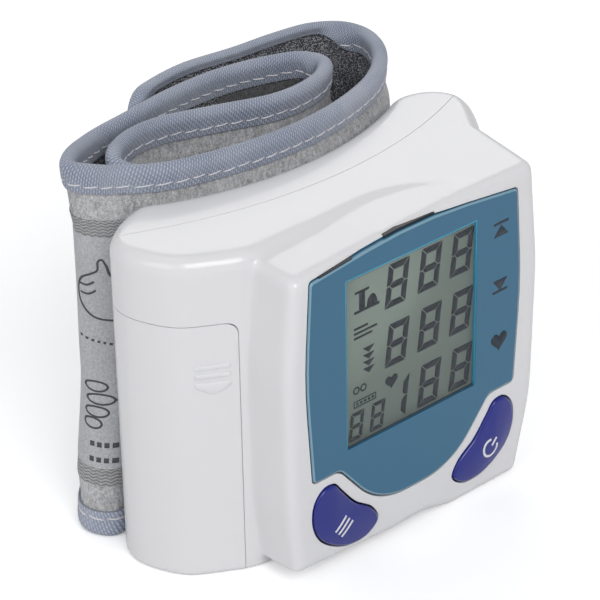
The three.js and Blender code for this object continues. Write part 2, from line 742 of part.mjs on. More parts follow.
function batteryTray() {
  const { floorTop, ceiling } = bayLevels;
  const top = ceiling + bay.ceilingThickness;
  const room = prism(d => plan(d + bay.inset), bay.floor, top);
  const side = block3(-housing.leftReach, -fit.overrun, 0, bay.wallX, housing.depth, housing.height);
  const bores = [bay.frontCell, bay.rearCell].map(centre => rod(cell.radius + bay.boreClearance, floorTop,
    ceiling, centre, upright, 28));
  const [[ax, ay], [bx, by]] = [bay.frontCell, bay.rearCell];
  const far = -housing.leftReach - fit.overrun;
  const [front, back] = [ay - housing.depth, housing.depth * 2];
  const mouth = prism(fixed([[ax, front], [ax, ay], [bx, by], [bx, back], [far, back], [far, front]]), floorTop,
    ceiling);
  const behindCell = block3(far, by, floorTop, bx + cell.radius / 2, housing.depth, ceiling);
  return cut(meet(room, side), ...bores, mouth, behindCell,
    contactPlate([bay.frontCell, bay.rearCell], bayLevels.plateTop - bay.plate, fit.seat));
}

function batteryCell(centre, low, up) {
  const body = cell.length - cell.nubHeight;
  const along = z => (up ? low + z : low + cell.length - z);
  const { radius, nubRadius, edge } = cell;
  const profile = [[0, 0], [radius - edge, 0], [radius, edge], [radius, body - edge], [radius - edge, body],
    [nubRadius, body], [nubRadius, cell.length], [0, cell.length]];
  return turned(profile.map(([r, z]) => [r, along(z)]), centre, upright, 20);
}

// A conical contact spring, one unbroken wire
function contactSpring(centre, low) {
  const { turns, top } = springShares;
  const height = bay.springHeight - spring.wire * 2;
  const steps = turns * detail.wire;
  const route = between(0, 1, steps).map(share => {
    const angle = share * turns * 2 * Math.PI;
    const radius = spring.radius * lerp(1, top, share);
    return [centre[0] + radius * Math.cos(angle), centre[1] + radius * Math.sin(angle),
      low + spring.wire + height * share];
  });
  return hose(route, spring.wire, steps, detail.wireSides);
}

// A strip contact under or over one or two cells
function contactPlate(centres, low, grow = 0) {
  const [a, b] = [centres[0], centres.at(-1)];
  const outline = circle(cell.radius * bayShares.plateRadius + grow, 16).map(([x, y]) => {
    const centre = x * (b[0] - a[0]) + y * (b[1] - a[1]) > 0 ? b : a;
    return [centre[0] + x, centre[1] + y];
  });
  return prism(fixed(outline), low - grow, low + bay.plate + grow);
}

// Fasteners

function housingScrew([x, z]) {
  const { radius, headRadius, headHeight, length } = screw;
  const under = screwSeat(x) + fit.seat;
  const tip = screwSeat(x) - length;
  return turned([[0, tip], [radius / 2, tip], [radius, tip + radius], [radius, under], [headRadius, under],
    [headRadius, under + headHeight / 2], [headRadius / 2, under + headHeight], [0, under + headHeight]],
  [x, z], backwards, 14);
}

// Air system

function pumpMotor() {
  const { radius, length, z, edge, shaftRadius, shaftLength } = motor;
  return turned([[0, z], [radius - edge, z], [radius, z + edge], [radius, z + length - edge],
    [radius - edge, z + length], [shaftRadius, z + length], [shaftRadius, z + length + shaftLength],
    [0, z + length + shaftLength]], [motor.x, motor.depth], upright, 24);
}

const pumpLow = motor.z + motor.length + motor.shaftLength + fit.seat;
const pumpTop = pumpLow + pumpHead.height;

function pumpHeadBody() {
  const { radius, edge } = pumpHead;
  return turned([[0, pumpLow], [radius, pumpLow], [radius, pumpTop - edge], [radius - edge, pumpTop],
    [port.radius, pumpTop], [port.radius, pumpTop + port.length], [0, pumpTop + port.length]],
  [motor.x, motor.depth], upright, 24);
}

function releaseValve() {
  const [halfWidth, halfDepth] = [valve.width / 2, valve.depth / 2];
  const top = valve.z + valve.height;
  return join(block3(tee.x - halfWidth, tee.depth - halfDepth, valve.z, tee.x + halfWidth,
    tee.depth + halfDepth, top),
  rod(port.radius, top - fit.weld, top + port.length, [tee.x, tee.depth], upright, 12));
}

// Four-way joint: pump above, valve below, sensor to the left and cuff behind
const sideways = (depth, z, x) => [x, depth, z];
const teeReach = tee.radius + port.length;

function airTee() {
  const { x, depth, z, radius, height } = tee;
  return join(rod(radius, z - height / 2, z + height / 2, [x, depth], upright, 16),
    rod(port.radius, z - teeReach, z + teeReach, [x, depth], upright, 12),
    rod(port.radius, depth, depth + teeReach, [x, z], backwards, 12),
    rod(port.radius, x - teeReach, x, [depth, z], sideways, 12));
}

const flangeBack = wristDepth(tee.x - nozzle.flangeRadius) - housing.wall - fit.seat;

// Ways of the tubes; each starts and ends a little way down its port
const tubeRoutes = (() => {
  const seat = fit.seat;
  const [valveTop, pumpPort] = [valve.z + valve.height, pumpTop + port.length];
  const teeTop = tee.z + teeReach;
  const sensorEnd = depths.boardBack + fit.seat + sensor.depth;
  return {
    valve_tube: [[tee.x, tee.depth, valveTop + seat], [tee.x, tee.depth, tee.z - tee.height / 2 - seat]],
    cuff_tube: [[tee.x, tee.depth + tee.radius + seat, tee.z],
      [tee.x, flangeBack - nozzle.flangeThickness - seat, tee.z]],
    pump_tube: [[motor.x, motor.depth, pumpTop + seat], [motor.x, motor.depth, pumpPort],
      [motor.x - tube.radius, motor.depth, pumpPort + tube.radius * 2], [lerp(motor.x, tee.x, 0.5), tee.depth,
        pumpPort + tube.radius * 2.4], [tee.x + tube.radius, tee.depth, pumpPort + tube.radius * 2],
      [tee.x, tee.depth, teeTop], [tee.x, tee.depth, tee.z + tee.height / 2 + seat]],
    sensor_tube: [[sensor.x, sensorEnd + seat, tee.z], [sensor.x, sensorEnd + port.length, tee.z],
      [sensor.x + tube.radius, sensorEnd + port.length + tube.radius * 2, tee.z],
      [lerp(sensor.x, tee.x - teeReach, 0.6), sensorEnd + port.length + tube.radius * 1.6, tee.z],
      [tee.x - teeReach, tee.depth, tee.z], [tee.x - tee.radius - seat, tee.depth, tee.z]],
  };
})();

// A soft tube from one port to another
function airTube(route) {
  const shape = new THREE.Shape(vectors(circle(tube.radius, detail.tubeSides)));
  shape.holes.push(new THREE.Path(vectors(circle(tube.bore, detail.tubeSides))));
  const steps = (route.length - 1) * detail.tubeSteps;
  return solid(new THREE.ExtrudeGeometry(shape, { steps, extrudePath: curveAlong(route) }));
}

function airNozzle() {
  const nozzleFront = wristDepth(tee.x) - nozzle.length;
  const end = wristDepth(tee.x) + nozzle.reach;
  const flangeFront = flangeBack - nozzle.flangeThickness;
  return turned([[0, nozzleFront], [port.radius, nozzleFront], [port.radius, flangeFront],
    [nozzle.flangeRadius, flangeFront], [nozzle.flangeRadius, flangeBack],
    [port.radius, flangeBack], [port.radius, end], [0, end]], [tee.x, tee.z], backwards, 16);
}

// Cuff

const bandCurve = lean => new THREE.CatmullRomCurve3(bandShares.map(([x, depth], i) => {
  const [across, forward] = leanShares[i - leanStart] ?? [0, 0];
  return new THREE.Vector3(x * cuff.halfSpan - lean * across * cuff.leanAcross,
    lerp(cuff.nearDepth, cuff.farDepth, depth) - lean * forward * cuff.leanForward, 0);
}), false, 'centripetal');

const bandStations = (() => {
  const [top, bottom] = [bandCurve(0), bandCurve(1)];
  const points = bandShares.length - 1;
  const nearby = 0.05 / points;
  const at = share => ({ top: top.getPoint(share), bottom: bottom.getPoint(share) });
  return between(0, 1, points * detail.band).map(share => ({
    ...at(share),
    before: at(Math.max(share - nearby, 0)),
    after: at(Math.min(share + nearby, 1)),
    point: share * points,
  }));
})();

const rising = (x, [from, to]) => THREE.MathUtils.smoothstep(x, from, to);
const tailShare = ({ point }) => rising(point, stretch.tail);
const drop = station => cuff.tailDrop * tailShare(station);

// Heights at which the band's section turns, from the tape up to the middle
const ledgeHeights = [cuff.tape + cuff.shoulder / 12, cuff.tape + cuff.shoulder];
const fullness = [[ledgeHeights[0], 0], [ledgeHeights[1], shoulderShare], [cuff.height / 2, 1],
  [cuff.height - ledgeHeights[1], shoulderShare], [cuff.height - ledgeHeights[0], 0]];

// How thick the band is at a station and a height
function bandWidth(station, z) {
  const [from, to] = stretch.thick;
  const thick = rising(station.point, [from - 1, from]) * (1 - rising(station.point, [to - 1, to]));
  const puff = lerp(cuff.puff, cuff.thickPuff, thick) * (1 - tailShare(station));
  const next = fullness.findIndex(([height]) => height >= z);
  if (next < 1) return cuff.core;
  const [[lowZ, low], [highZ, high]] = [fullness[next - 1], fullness[next]];
  return cuff.core + puff * lerp(low, high, (z - lowZ) / (highZ - lowZ));
}

// A place on the band: how far it stands out from the middle line, and its height
function onBand(station, out, z) {
  const fall = 1 - z / cuff.height;
  const [here, before, after] = [station, station.before, station.after]
    .map(({ top, bottom }) => new THREE.Vector2(lerp(top.x, bottom.x, fall), lerp(top.y, bottom.y, fall)));
  const heading = after.sub(before).normalize();
  return [here.x - heading.y * out, here.y + heading.x * out, z];
}

// A section carried along part of the band: section(station) gives [out, z] points
function alongBand(section, [from, to] = [0, bandShares.length - 1]) {
  const rows = bandStations.filter(({ point }) => point >= from && point <= to);
  const rings = rows.map(station => section(station).map(([out, z]) => onBand(station, out, z)));
  return skin(rings, section(rows[0]));
}

// A sheet that lies at a distance from the band's middle line, given at a few heights
function bandSheet(face, thickness, heights) {
  return station => {
    const outer = heights(station).map(z => [face(station, z), z]);
    const inner = heights(station).map(z => [face(station, z) - thickness, z]).reverse();
    return [...outer, ...inner];
  };
}

const clothHeights = station => {
  const rim = drop(station) + cuff.tapeWall + cuff.tapeSeat;
  return [rim, ...fullness.map(([z]) => z), cuff.height - rim];
};
const roomHeights = room => () => [room, cuff.height / 2, cuff.height - room];
const outerFace = (station, z) => bandWidth(station, z) / 2;

function cuffHoles(grow) {
  const through = cuff.core + cuff.thickPuff / 2;
  const before = housing.backDepth - fit.overrun;
  const pegHoles = pegPlaces().map(([x, z]) => rod(cuff.pegRadius + grow, before, wristDepth(x) + through,
    [x, z], backwards, 10));
  return [...pegHoles, rod(port.radius + grow, before, housing.backDepth + through, [tee.x, tee.z], backwards, 12)];
}

const cuffOuterCloth = () => cut(alongBand(bandSheet(outerFace, cuff.cloth, clothHeights)),
  ...cuffHoles(fit.running));
const cuffInnerCloth = () => alongBand(bandSheet((station, z) => cuff.cloth - outerFace(station, z), cuff.cloth,
  clothHeights));

const layer = {
  plate: (station, z) => outerFace(station, z) - cuff.cloth - fit.seat,
  bladder: (station, z) => outerFace(station, z) - cuff.cloth - cuff.plate - fit.seat * 2,
};
const plateHeights = roomHeights(cuff.plateRoom);

function cuffPlate() {
  const plate = alongBand(bandSheet(layer.plate, cuff.plate, plateHeights), stretch.plate);
  const pegs = pegPlaces().map(([x, z]) => rod(cuff.pegRadius, wristDepth(x) - housing.wall - fit.seat,
    wristDepth(x) + cuff.pegSeat, [x, z], backwards, 10));
  const outlet = rod(port.radius + fit.running, 0, housing.depth * 2, [tee.x, tee.z], backwards, 12);
  return cut(join(plate, ...pegs), outlet);
}

const cuffBladder = () => alongBand(bandSheet(layer.bladder, cuff.bladder, plateHeights),
  stretch.bladder);

// Tape folded over one rim of the band
function cuffTape(upper) {
  const { core, tape, tapeWall, tapeSeat } = cuff;
  const half = core / 2 + tapeSeat + tapeWall;
  const slot = core / 2 + tapeSeat;
  const profile = [[half, tape], [half, 0], [-half, 0], [-half, tape], [-slot, tape], [-slot, tapeWall],
    [slot, tapeWall], [slot, tape]];
  return alongBand(station => profile.map(([out, down]) => [out, upper
    ? cuff.height - drop(station) - down : drop(station) + down]));
}

const cuffLabel = () => alongBand(bandSheet((station, z) => outerFace(station, z) + fit.seat + cuff.label,
  cuff.label, roomHeights(cuff.labelRoom)), stretch.label);

const patchHeights = () => [
  cuff.patchRoom, ...fullness.slice(1, -1).map(([z]) => z), cuff.height - cuff.patchRoom,
];
const hookPatch = () => alongBand(bandSheet((station, z) => -outerFace(station, z) - fit.seat, cuff.patch,
  patchHeights), stretch.patch);

// Assembly

const monitor = new THREE.Group();
const unit = new THREE.Group();
unit.position.y = -housing.standDepth;
monitor.add(unit);

function place(name, body, material) {
  const { numProp, vertProperties, triVerts } = body.getMesh();
  const geometry = new THREE.BufferGeometry();
  geometry.setAttribute('position', new THREE.BufferAttribute(new Float32Array(vertProperties), numProp));
  geometry.setIndex(new THREE.BufferAttribute(new Uint32Array(triVerts), 1));
  geometry.computeVertexNormals();
  const mesh = new THREE.Mesh(geometry, material);
  mesh.name = name;
  unit.add(mesh);
}

place('front_housing', frontHousing(), finishes.whitePlastic);
place('rear_housing', rearHousing(), finishes.whitePlastic);
place('battery_cover', batteryCover(), finishes.whitePlastic);
place('display_lens', displayLens(), finishes.lensPlastic);
place('lcd_glass', lcdGlass(), finishes.glass);
place('lcd_holder', lcdHolder(), finishes.darkPlastic);
place('zebra_strip', zebra(0, 0), finishes.silicone);
place('circuit_board', circuitBoard(), finishes.boardLaminate);
place('controller_chip', onBoard(chip), finishes.darkPlastic);
place('pressure_sensor', pressureSensor(), finishes.darkPlastic);
place('buzzer', buzzerCan(), finishes.darkPlastic);
for (const [name, side] of [['memory', -1], ['power', 1]]) {
  place(`${name}_button`, pushButton(side), finishes.buttonPlastic);
  place(`${name}_switch`, switchBody(side), finishes.steel);
  place(`${name}_plunger`, switchPlunger(side), finishes.darkPlastic);
}
place('battery_tray', batteryTray(), finishes.greyPlastic);
place('battery_front', batteryCell(bay.frontCell, bayLevels.frontLow, true), finishes.cellWrap);
place('battery_rear', batteryCell(bay.rearCell, bayLevels.cellLow, false), finishes.cellWrap);
place('spring_front', contactSpring(bay.frontCell, bayLevels.cellLow), finishes.steel);
place('spring_rear', contactSpring(bay.rearCell, bayLevels.cellLow + cell.length + fit.seat), finishes.steel);
place('contact_bridge', contactPlate([bay.frontCell, bay.rearCell], bayLevels.plateTop - bay.plate),
  finishes.brass);
place('contact_positive', contactPlate([bay.frontCell], bayLevels.topPlate), finishes.brass);
place('contact_negative', contactPlate([bay.rearCell], bayLevels.topPlate), finishes.brass);
screwPlaces.forEach((spot, i) => place(`housing_screw_${i + 1}`, housingScrew(spot), finishes.steel));
place('pump_motor', pumpMotor(), finishes.steel);
place('pump_head', pumpHeadBody(), finishes.darkPlastic);
place('release_valve', releaseValve(), finishes.darkPlastic);
place('air_tee', airTee(), finishes.darkPlastic);
place('air_nozzle', airNozzle(), finishes.darkPlastic);
for (const [name, route] of Object.entries(tubeRoutes)) place(name, airTube(route), finishes.silicone);
place('cuff_outer_cloth', cuffOuterCloth(), finishes.felt);
place('cuff_inner_cloth', cuffInnerCloth(), finishes.mesh);
place('cuff_plate', cuffPlate(), finishes.greyPlastic);
place('cuff_bladder', cuffBladder(), finishes.silicone);
place('cuff_tape_upper', cuffTape(true), finishes.tape);
place('cuff_tape_lower', cuffTape(false), finishes.tape);
place('cuff_label', cuffLabel(), finishes.label);
place('hook_patch', hookPatch(), finishes.felt);

export default monitor;
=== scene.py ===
"""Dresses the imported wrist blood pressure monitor.

Fine shells, lens, display, keys and a soft cuff are built around the CAD frame.
Lengths are written in millimetres, as in the CAD source, and turn into metres where a mesh is made.
Places in plan are [x, depth], where depth runs back from the face of the display block.
"""

from __future__ import annotations

import json
import logging
import math
from collections.abc import Callable, Iterable, Sequence
from dataclasses import dataclass, field
from enum import Enum

import bmesh
import bpy
import numpy as np
from mathutils import Matrix, Vector
from mathutils.bvhtree import BVHTree

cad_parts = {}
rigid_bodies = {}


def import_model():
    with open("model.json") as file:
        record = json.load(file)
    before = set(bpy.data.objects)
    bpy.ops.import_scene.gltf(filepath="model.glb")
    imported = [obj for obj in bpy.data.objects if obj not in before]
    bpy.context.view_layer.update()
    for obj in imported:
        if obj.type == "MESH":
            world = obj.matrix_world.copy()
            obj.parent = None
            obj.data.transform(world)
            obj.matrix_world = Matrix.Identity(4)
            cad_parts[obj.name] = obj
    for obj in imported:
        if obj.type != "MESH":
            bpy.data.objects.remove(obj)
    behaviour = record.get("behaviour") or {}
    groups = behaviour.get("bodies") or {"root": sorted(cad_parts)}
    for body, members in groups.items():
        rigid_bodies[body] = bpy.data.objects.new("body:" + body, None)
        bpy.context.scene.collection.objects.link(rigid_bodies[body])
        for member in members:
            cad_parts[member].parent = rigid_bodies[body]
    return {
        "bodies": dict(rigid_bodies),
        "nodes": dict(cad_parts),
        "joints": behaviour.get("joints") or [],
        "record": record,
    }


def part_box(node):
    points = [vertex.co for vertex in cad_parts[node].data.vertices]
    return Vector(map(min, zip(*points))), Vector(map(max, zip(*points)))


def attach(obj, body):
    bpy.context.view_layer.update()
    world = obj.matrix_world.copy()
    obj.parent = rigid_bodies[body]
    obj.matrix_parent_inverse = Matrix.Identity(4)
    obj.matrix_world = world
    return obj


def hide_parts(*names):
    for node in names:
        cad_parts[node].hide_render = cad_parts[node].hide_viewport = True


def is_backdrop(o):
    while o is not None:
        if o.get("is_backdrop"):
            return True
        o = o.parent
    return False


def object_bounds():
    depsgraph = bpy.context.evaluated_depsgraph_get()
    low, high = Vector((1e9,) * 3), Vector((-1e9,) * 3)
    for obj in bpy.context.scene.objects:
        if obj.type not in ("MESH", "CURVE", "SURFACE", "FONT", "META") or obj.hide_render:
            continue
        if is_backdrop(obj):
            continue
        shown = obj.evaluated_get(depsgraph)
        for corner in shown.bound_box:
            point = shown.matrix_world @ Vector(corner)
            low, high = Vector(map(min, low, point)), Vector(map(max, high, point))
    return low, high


LOG = logging.getLogger("wrist_monitor")
MM = 0.001
FACE_STAND = 16.0
OVERRUN = 6.0
# The smallest radius that a corner keeps, and how far thin trim stays clear of a face beside it
LEAST_RADIUS = 0.25
CLEAR = 0.02
# How far a part of the housing reaches into the wall that it joins
ROOT = 0.4
# The soft edge of the CAD solids that stay as they are, and the angle from which they get it
SOFT_EDGE = 0.12
SOFT_ANGLE = 35

Pair = tuple[float, float]
Triple = tuple[float, float, float]
Rgb = tuple[float, float, float]
Quad = tuple[float, float, float, float]
Outline = Sequence[Pair]
Shape = Callable[[float], Outline]
Depth = Callable[[float], float]
Strip = list[list[Pair]]
Mesh = bpy.types.Mesh
Object = bpy.types.Object
Material = bpy.types.Material
Socket = bpy.types.NodeSocket


def to_frame(x: float, depth: float, z: float) -> Triple:
    """Turn a place [x, depth, z] of the monitor into a point of the frame, in metres."""
    return (x * MM, (depth - FACE_STAND) * MM, z * MM)


# Curves and outlines


def curve_points(points: Sequence[Sequence[float]], shares: np.ndarray, closed: bool = False) -> np.ndarray:
    """Walk one centripetal curve through a few chosen points.

    Args:
        points: The points, each with any number of coordinates.
        shares: Where to look, from 0 at the first point to 1 at the last.
        closed: Whether the curve runs back to its first point.

    Returns:
        One row of coordinates for each share.
    """
    given = np.array(points, float)
    count = len(given)
    place = np.asarray(shares, float) * (count if closed else count - 1)
    first = np.floor(place).astype(int)
    if not closed:
        first = np.minimum(first, count - 2)
    along = (place - first)[:, None]
    if closed:
        rows = [given[(first + step) % count] for step in (-1, 0, 1, 2)]
    else:
        padded = np.vstack([2 * given[0] - given[1], given, 2 * given[-1] - given[-2]])
        rows = [padded[first + step] for step in (0, 1, 2, 3)]
    a, b, c, d = rows
    before, here, after = (
        np.maximum(np.sum((end - start) ** 2, axis=1), 1e-12)[:, None] ** 0.25
        for start, end in ((a, b), (b, c), (c, d))
    )
    leave = ((b - a) / before - (c - a) / (before + here) + (c - b) / here) * here
    arrive = ((c - b) / here - (d - b) / (here + after) + (d - c) / after) * here
    square = -3 * b + 3 * c - 2 * leave - arrive
    cube = 2 * b - 2 * c + leave + arrive
    return b + leave * along + square * along**2 + cube * along**3


def curve_through(points: Sequence[Pair], steps: int, closed: bool = False) -> list[Pair]:
    """Divide a curve through a few points into even steps of its parameter."""
    made = curve_points(points, np.linspace(0, 1, steps + 1), closed)
    return [tuple(row) for row in (made[:-1] if closed else made)]


def inset(outline: Sequence[Pair], distance: float) -> list[Pair]:
    """Move a closed outline inwards.

    Args:
        outline: Its points, in either direction.
        distance: How far; below zero moves it outwards.

    Returns:
        The moved points, one for each point given.
    """
    points = np.array([p[:2] for p in outline], float)
    following = np.roll(points, -1, axis=0)
    before = points - np.roll(points, 1, axis=0)
    after = following - points
    area = np.sum(points[:, 0] * following[:, 1] - points[:, 1] * following[:, 0])
    arriving = before / np.linalg.norm(before, axis=1)[:, None]
    leaving = after / np.linalg.norm(after, axis=1)[:, None]
    reach = distance * math.copysign(1, area) / (1 + np.sum(arriving * leaving, axis=1))
    moved_x = points[:, 0] - (arriving[:, 1] + leaving[:, 1]) * reach
    moved_y = points[:, 1] + (arriving[:, 0] + leaving[:, 0]) * reach
    return list(zip(moved_x, moved_y))


def rounded_outline(corners: Sequence[Triple], step: float = math.radians(4)) -> list[Pair]:
    """Round each corner [x, y, radius] of an outline.

    Args:
        corners: The corners in order.
        step: How far the outline may turn between two points.

    Returns:
        The outline's points.
    """
    made: list[Pair] = []
    for i, (x, y, radius) in enumerate(corners):
        here = Vector((x, y))
        back = Vector(corners[i - 1][:2]) - here
        ahead = Vector(corners[(i + 1) % len(corners)][:2]) - here
        bend = math.pi - back.angle(ahead)
        reach = min(radius * math.tan(bend / 2), back.length / 2, ahead.length / 2)
        start = here + back.normalized() * reach
        end = here + ahead.normalized() * reach
        steps = max(3, round(bend / step))
        for k in range(steps + 1):
            t = k / steps
            point = start * (1 - t) ** 2 + here * (2 * t * (1 - t)) + end * t**2
            made.append((point.x, point.y))
    return made


def inset_corners(corners: Sequence[Triple], distance: float) -> list[Triple]:
    """Move corners inwards, each keeping a radius of its own."""
    moved = inset([c[:2] for c in corners], distance)
    return [(x, y, max(corner[2] - distance, LEAST_RADIUS)) for (x, y), corner in zip(moved, corners)]


def rectangle(left: float, low: float, right: float, high: float, radius: float) -> list[Triple]:
    """List a rectangle's four corners with one radius."""
    return [(left, low, radius), (right, low, radius), (right, high, radius), (left, high, radius)]


def mirrored(corners: Iterable[Sequence[float]]) -> list[tuple[float, ...]]:
    """Mirror points about the middle and keep the way round."""
    return [(-c[0], *c[1:]) for c in corners][::-1]


# Meshes

Placer = Callable[[float, float, float], Triple]


def upright(x: float, depth: float, z: float) -> Triple:
    """Place a plan outline at a height."""
    return to_frame(x, depth, z)


def backwards(x: float, z: float, depth: float) -> Triple:
    """Place a face outline at a depth."""
    return to_frame(x, depth, z)


def new_mesh(
    name: str, points: Sequence[Triple], faces: Sequence[Sequence[int]], smooth: bool = True
) -> Mesh:
    """Make a mesh with faces that point out.

    Args:
        name: The mesh's name.
        points: Its points in metres.
        faces: Its faces as point numbers.
        smooth: Whether its faces are shaded smooth.

    Returns:
        The mesh.
    """
    mesh = bpy.data.meshes.new(name)
    mesh.from_pydata([tuple(p) for p in points], [], [tuple(f) for f in faces])
    made = bmesh.new()
    made.from_mesh(mesh)
    bmesh.ops.recalc_face_normals(made, faces=made.faces)
    made.to_mesh(mesh)
    made.free()
    mesh.polygons.foreach_set("use_smooth", [smooth] * len(mesh.polygons))
    mesh.update()
    return mesh


def new_object(name: str, mesh: Mesh) -> Object:
    """Put a mesh into the scene.

    Args:
        name: The object's name.
        mesh: Its mesh.

    Returns:
        The object.
    """
    made = bpy.data.objects.new(name, mesh)
    bpy.context.scene.collection.objects.link(made)
    return made


def sharpen(mesh: Mesh, angle: float = 32) -> None:
    """Keep the edges sharp that turn by more than an angle in degrees."""
    mesh.polygons.foreach_set("use_smooth", [True] * len(mesh.polygons))
    mesh.set_sharp_from_angle(angle=math.radians(angle))


def skin(
    name: str, rings: Sequence[Sequence[Triple]], capped: bool = True, closed: bool = False
) -> Mesh:
    """Make one skin over rings that hold the same number of points.

    Args:
        name: The mesh's name.
        rings: The rings in order.
        capped: Whether the first and last ring are filled.
        closed: Whether the last ring joins the first one.

    Returns:
        The mesh.
    """
    count = len(rings[0])
    points = [point for ring in rings for point in ring]
    faces: list[Sequence[int]] = []
    for i in range(len(rings) if closed else len(rings) - 1):
        start, following = i * count, ((i + 1) % len(rings)) * count
        for j in range(count):
            k = (j + 1) % count
            faces.append((start + j, start + k, following + k, following + j))
    if capped and not closed:
        faces.append(list(range(count))[::-1])
        faces.append(list(range((len(rings) - 1) * count, len(rings) * count)))
    return new_mesh(name, points, faces)


def edge_levels(radius: float, start: float, direction: int, steps: int = 8) -> list[Pair]:
    """Give the levels [distance inwards, place along] of a rounded edge.

    Args:
        radius: Its radius.
        start: Where it starts.
        direction: 1 or -1, the way into the prism.
        steps: How many steps it has.

    Returns:
        The levels.
    """
    if radius <= 0:
        return [(0.0, start)]
    angles = [k / steps * math.pi / 2 for k in range(steps + 1)]
    return [(radius * (1 - math.sin(a)), start + direction * radius * (1 - math.cos(a))) for a in angles]


def prism(
    outline: Shape,
    start: float,
    end: float,
    start_edge: float = 0,
    end_edge: float = 0,
    place: Placer = upright,
) -> Mesh:
    """Make a closed prism of an outline, with rounded edges at its two ends."""
    levels = edge_levels(start_edge, start, 1) + edge_levels(end_edge, end, -1)[::-1]
    return skin("prism", [[place(x, y, along) for x, y in outline(distance)] for distance, along in levels])


def fixed(outline: Outline) -> Shape:
    """Wrap an outline that doesn't change with the distance."""
    return lambda _distance: outline


def cornered(corners: Sequence[Triple]) -> Shape:
    """Give an outline of rounded corners, moved inwards by a distance."""
    return lambda distance: rounded_outline(inset_corners(corners, distance))


def plate(outline: Outline | Shape, start: float, end: float, edge: float = 0) -> Mesh:
    """Make a plate that faces the front, with an outline of points or one that can move inwards."""
    return prism(outline if callable(outline) else fixed(outline), start, end, edge, 0, backwards)


def circle(radius: float, centre: Pair = (0, 0), sides: int = 32) -> list[Pair]:
    """List the points of a circle."""
    turns = [k / sides * math.tau for k in range(sides)]
    return [(centre[0] + radius * math.cos(t), centre[1] + radius * math.sin(t)) for t in turns]


class Operation(Enum):
    """How one closed mesh works on another."""

    JOIN = "UNION"
    CUT = "DIFFERENCE"
    MEET = "INTERSECT"


def combine(body: Mesh, operation: Operation, *tools: Mesh) -> Mesh:
    """Join, cut or meet a closed mesh with others.

    Args:
        body: The mesh to work on, which stays as it is.
        operation: What to do with each tool.
        tools: The closed meshes that work on it.

    Returns:
        A new mesh.
    """
    holder = new_object("work", body)
    helpers = []
    for tool in tools:
        helper = new_object("tool", tool)
        modifier = holder.modifiers.new("work", "BOOLEAN")
        modifier.operation = operation.value
        modifier.solver = "MANIFOLD"
        modifier.object = helper
        helpers.append(helper)
    made = applied(holder)
    for used in [holder, *helpers]:
        bpy.data.objects.remove(used)
    return made


def applied(holder: Object) -> Mesh:
    """Give the mesh that an object has after its modifiers.

    Args:
        holder: The object.

    Returns:
        A new mesh.
    """
    graph = bpy.context.evaluated_depsgraph_get()
    graph.update()
    return bpy.data.meshes.new_from_object(holder.evaluated_get(graph))


def join(*bodies: Mesh) -> Mesh:
    """Join closed meshes into one."""
    return combine(bodies[0], Operation.JOIN, *bodies[1:])


def cut(body: Mesh, *tools: Mesh) -> Mesh:
    """Cut closed meshes out of one."""
    return combine(body, Operation.CUT, *tools)


def meet(body: Mesh, *tools: Mesh) -> Mesh:
    """Keep what closed meshes share."""
    return combine(body, Operation.MEET, *tools)


def block(left: float, front: float, low: float, right: float, back: float, high: float) -> Mesh:
    """Make a plain box to cut with."""
    return prism(fixed([(left, front), (right, front), (right, back), (left, back)]), low, high)


def rod(radius: float, start: float, end: float, centre: Pair) -> Mesh:
    """Make a round rod that runs from front to back."""
    return plate(circle(radius, centre), start, end)


def merge(name: str, meshes: Iterable[Mesh]) -> Mesh:
    """Put loose meshes together as one mesh.

    Args:
        name: The new mesh's name.
        meshes: The meshes.

    Returns:
        The new mesh.
    """
    made = bmesh.new()
    for mesh in meshes:
        made.from_mesh(mesh)
    result = bpy.data.meshes.new(name)
    made.to_mesh(result)
    made.free()
    return result


# Finishes


class Nodes:
    """A short way to write the nodes of one tree."""

    def __init__(self, tree: bpy.types.NodeTree) -> None:
        """Start with an empty tree."""
        self.tree = tree
        tree.nodes.clear()

    def node(
        self, kind: str, inputs: dict[str | int, object] | None = None, **options: object
    ) -> bpy.types.Node:
        """Add a node.

        Args:
            kind: Blender's name for it, without the word in front.
            inputs: Values or outputs of other nodes for its sockets.
            options: Its own options.

        Returns:
            The node.
        """
        made = self.tree.nodes.new(f"ShaderNode{kind}")
        for option, value in options.items():
            setattr(made, option, value)
        for socket, value in (inputs or {}).items():
            self.feed(made.inputs[socket], value)
        return made

    def feed(self, socket: Socket, value: object) -> None:
        """Give a socket a constant, or the output of another node.

        Args:
            socket: The socket.
            value: A number, a colour, a socket or a node.
        """
        if isinstance(value, Socket):
            self.tree.links.new(value, socket)
        elif isinstance(value, bpy.types.Node):
            self.tree.links.new(value.outputs[0], socket)
        elif isinstance(value, tuple) and len(value) == 3 and socket.type == "RGBA":
            socket.default_value = (*value, 1)
        else:
            socket.default_value = value

    def maths(self, operation: str, *values: object, clamp: bool = False) -> Socket:
        """Add one sum to the tree and give its result."""
        return self.node("Math", dict(enumerate(values)), operation=operation, use_clamp=clamp).outputs[0]


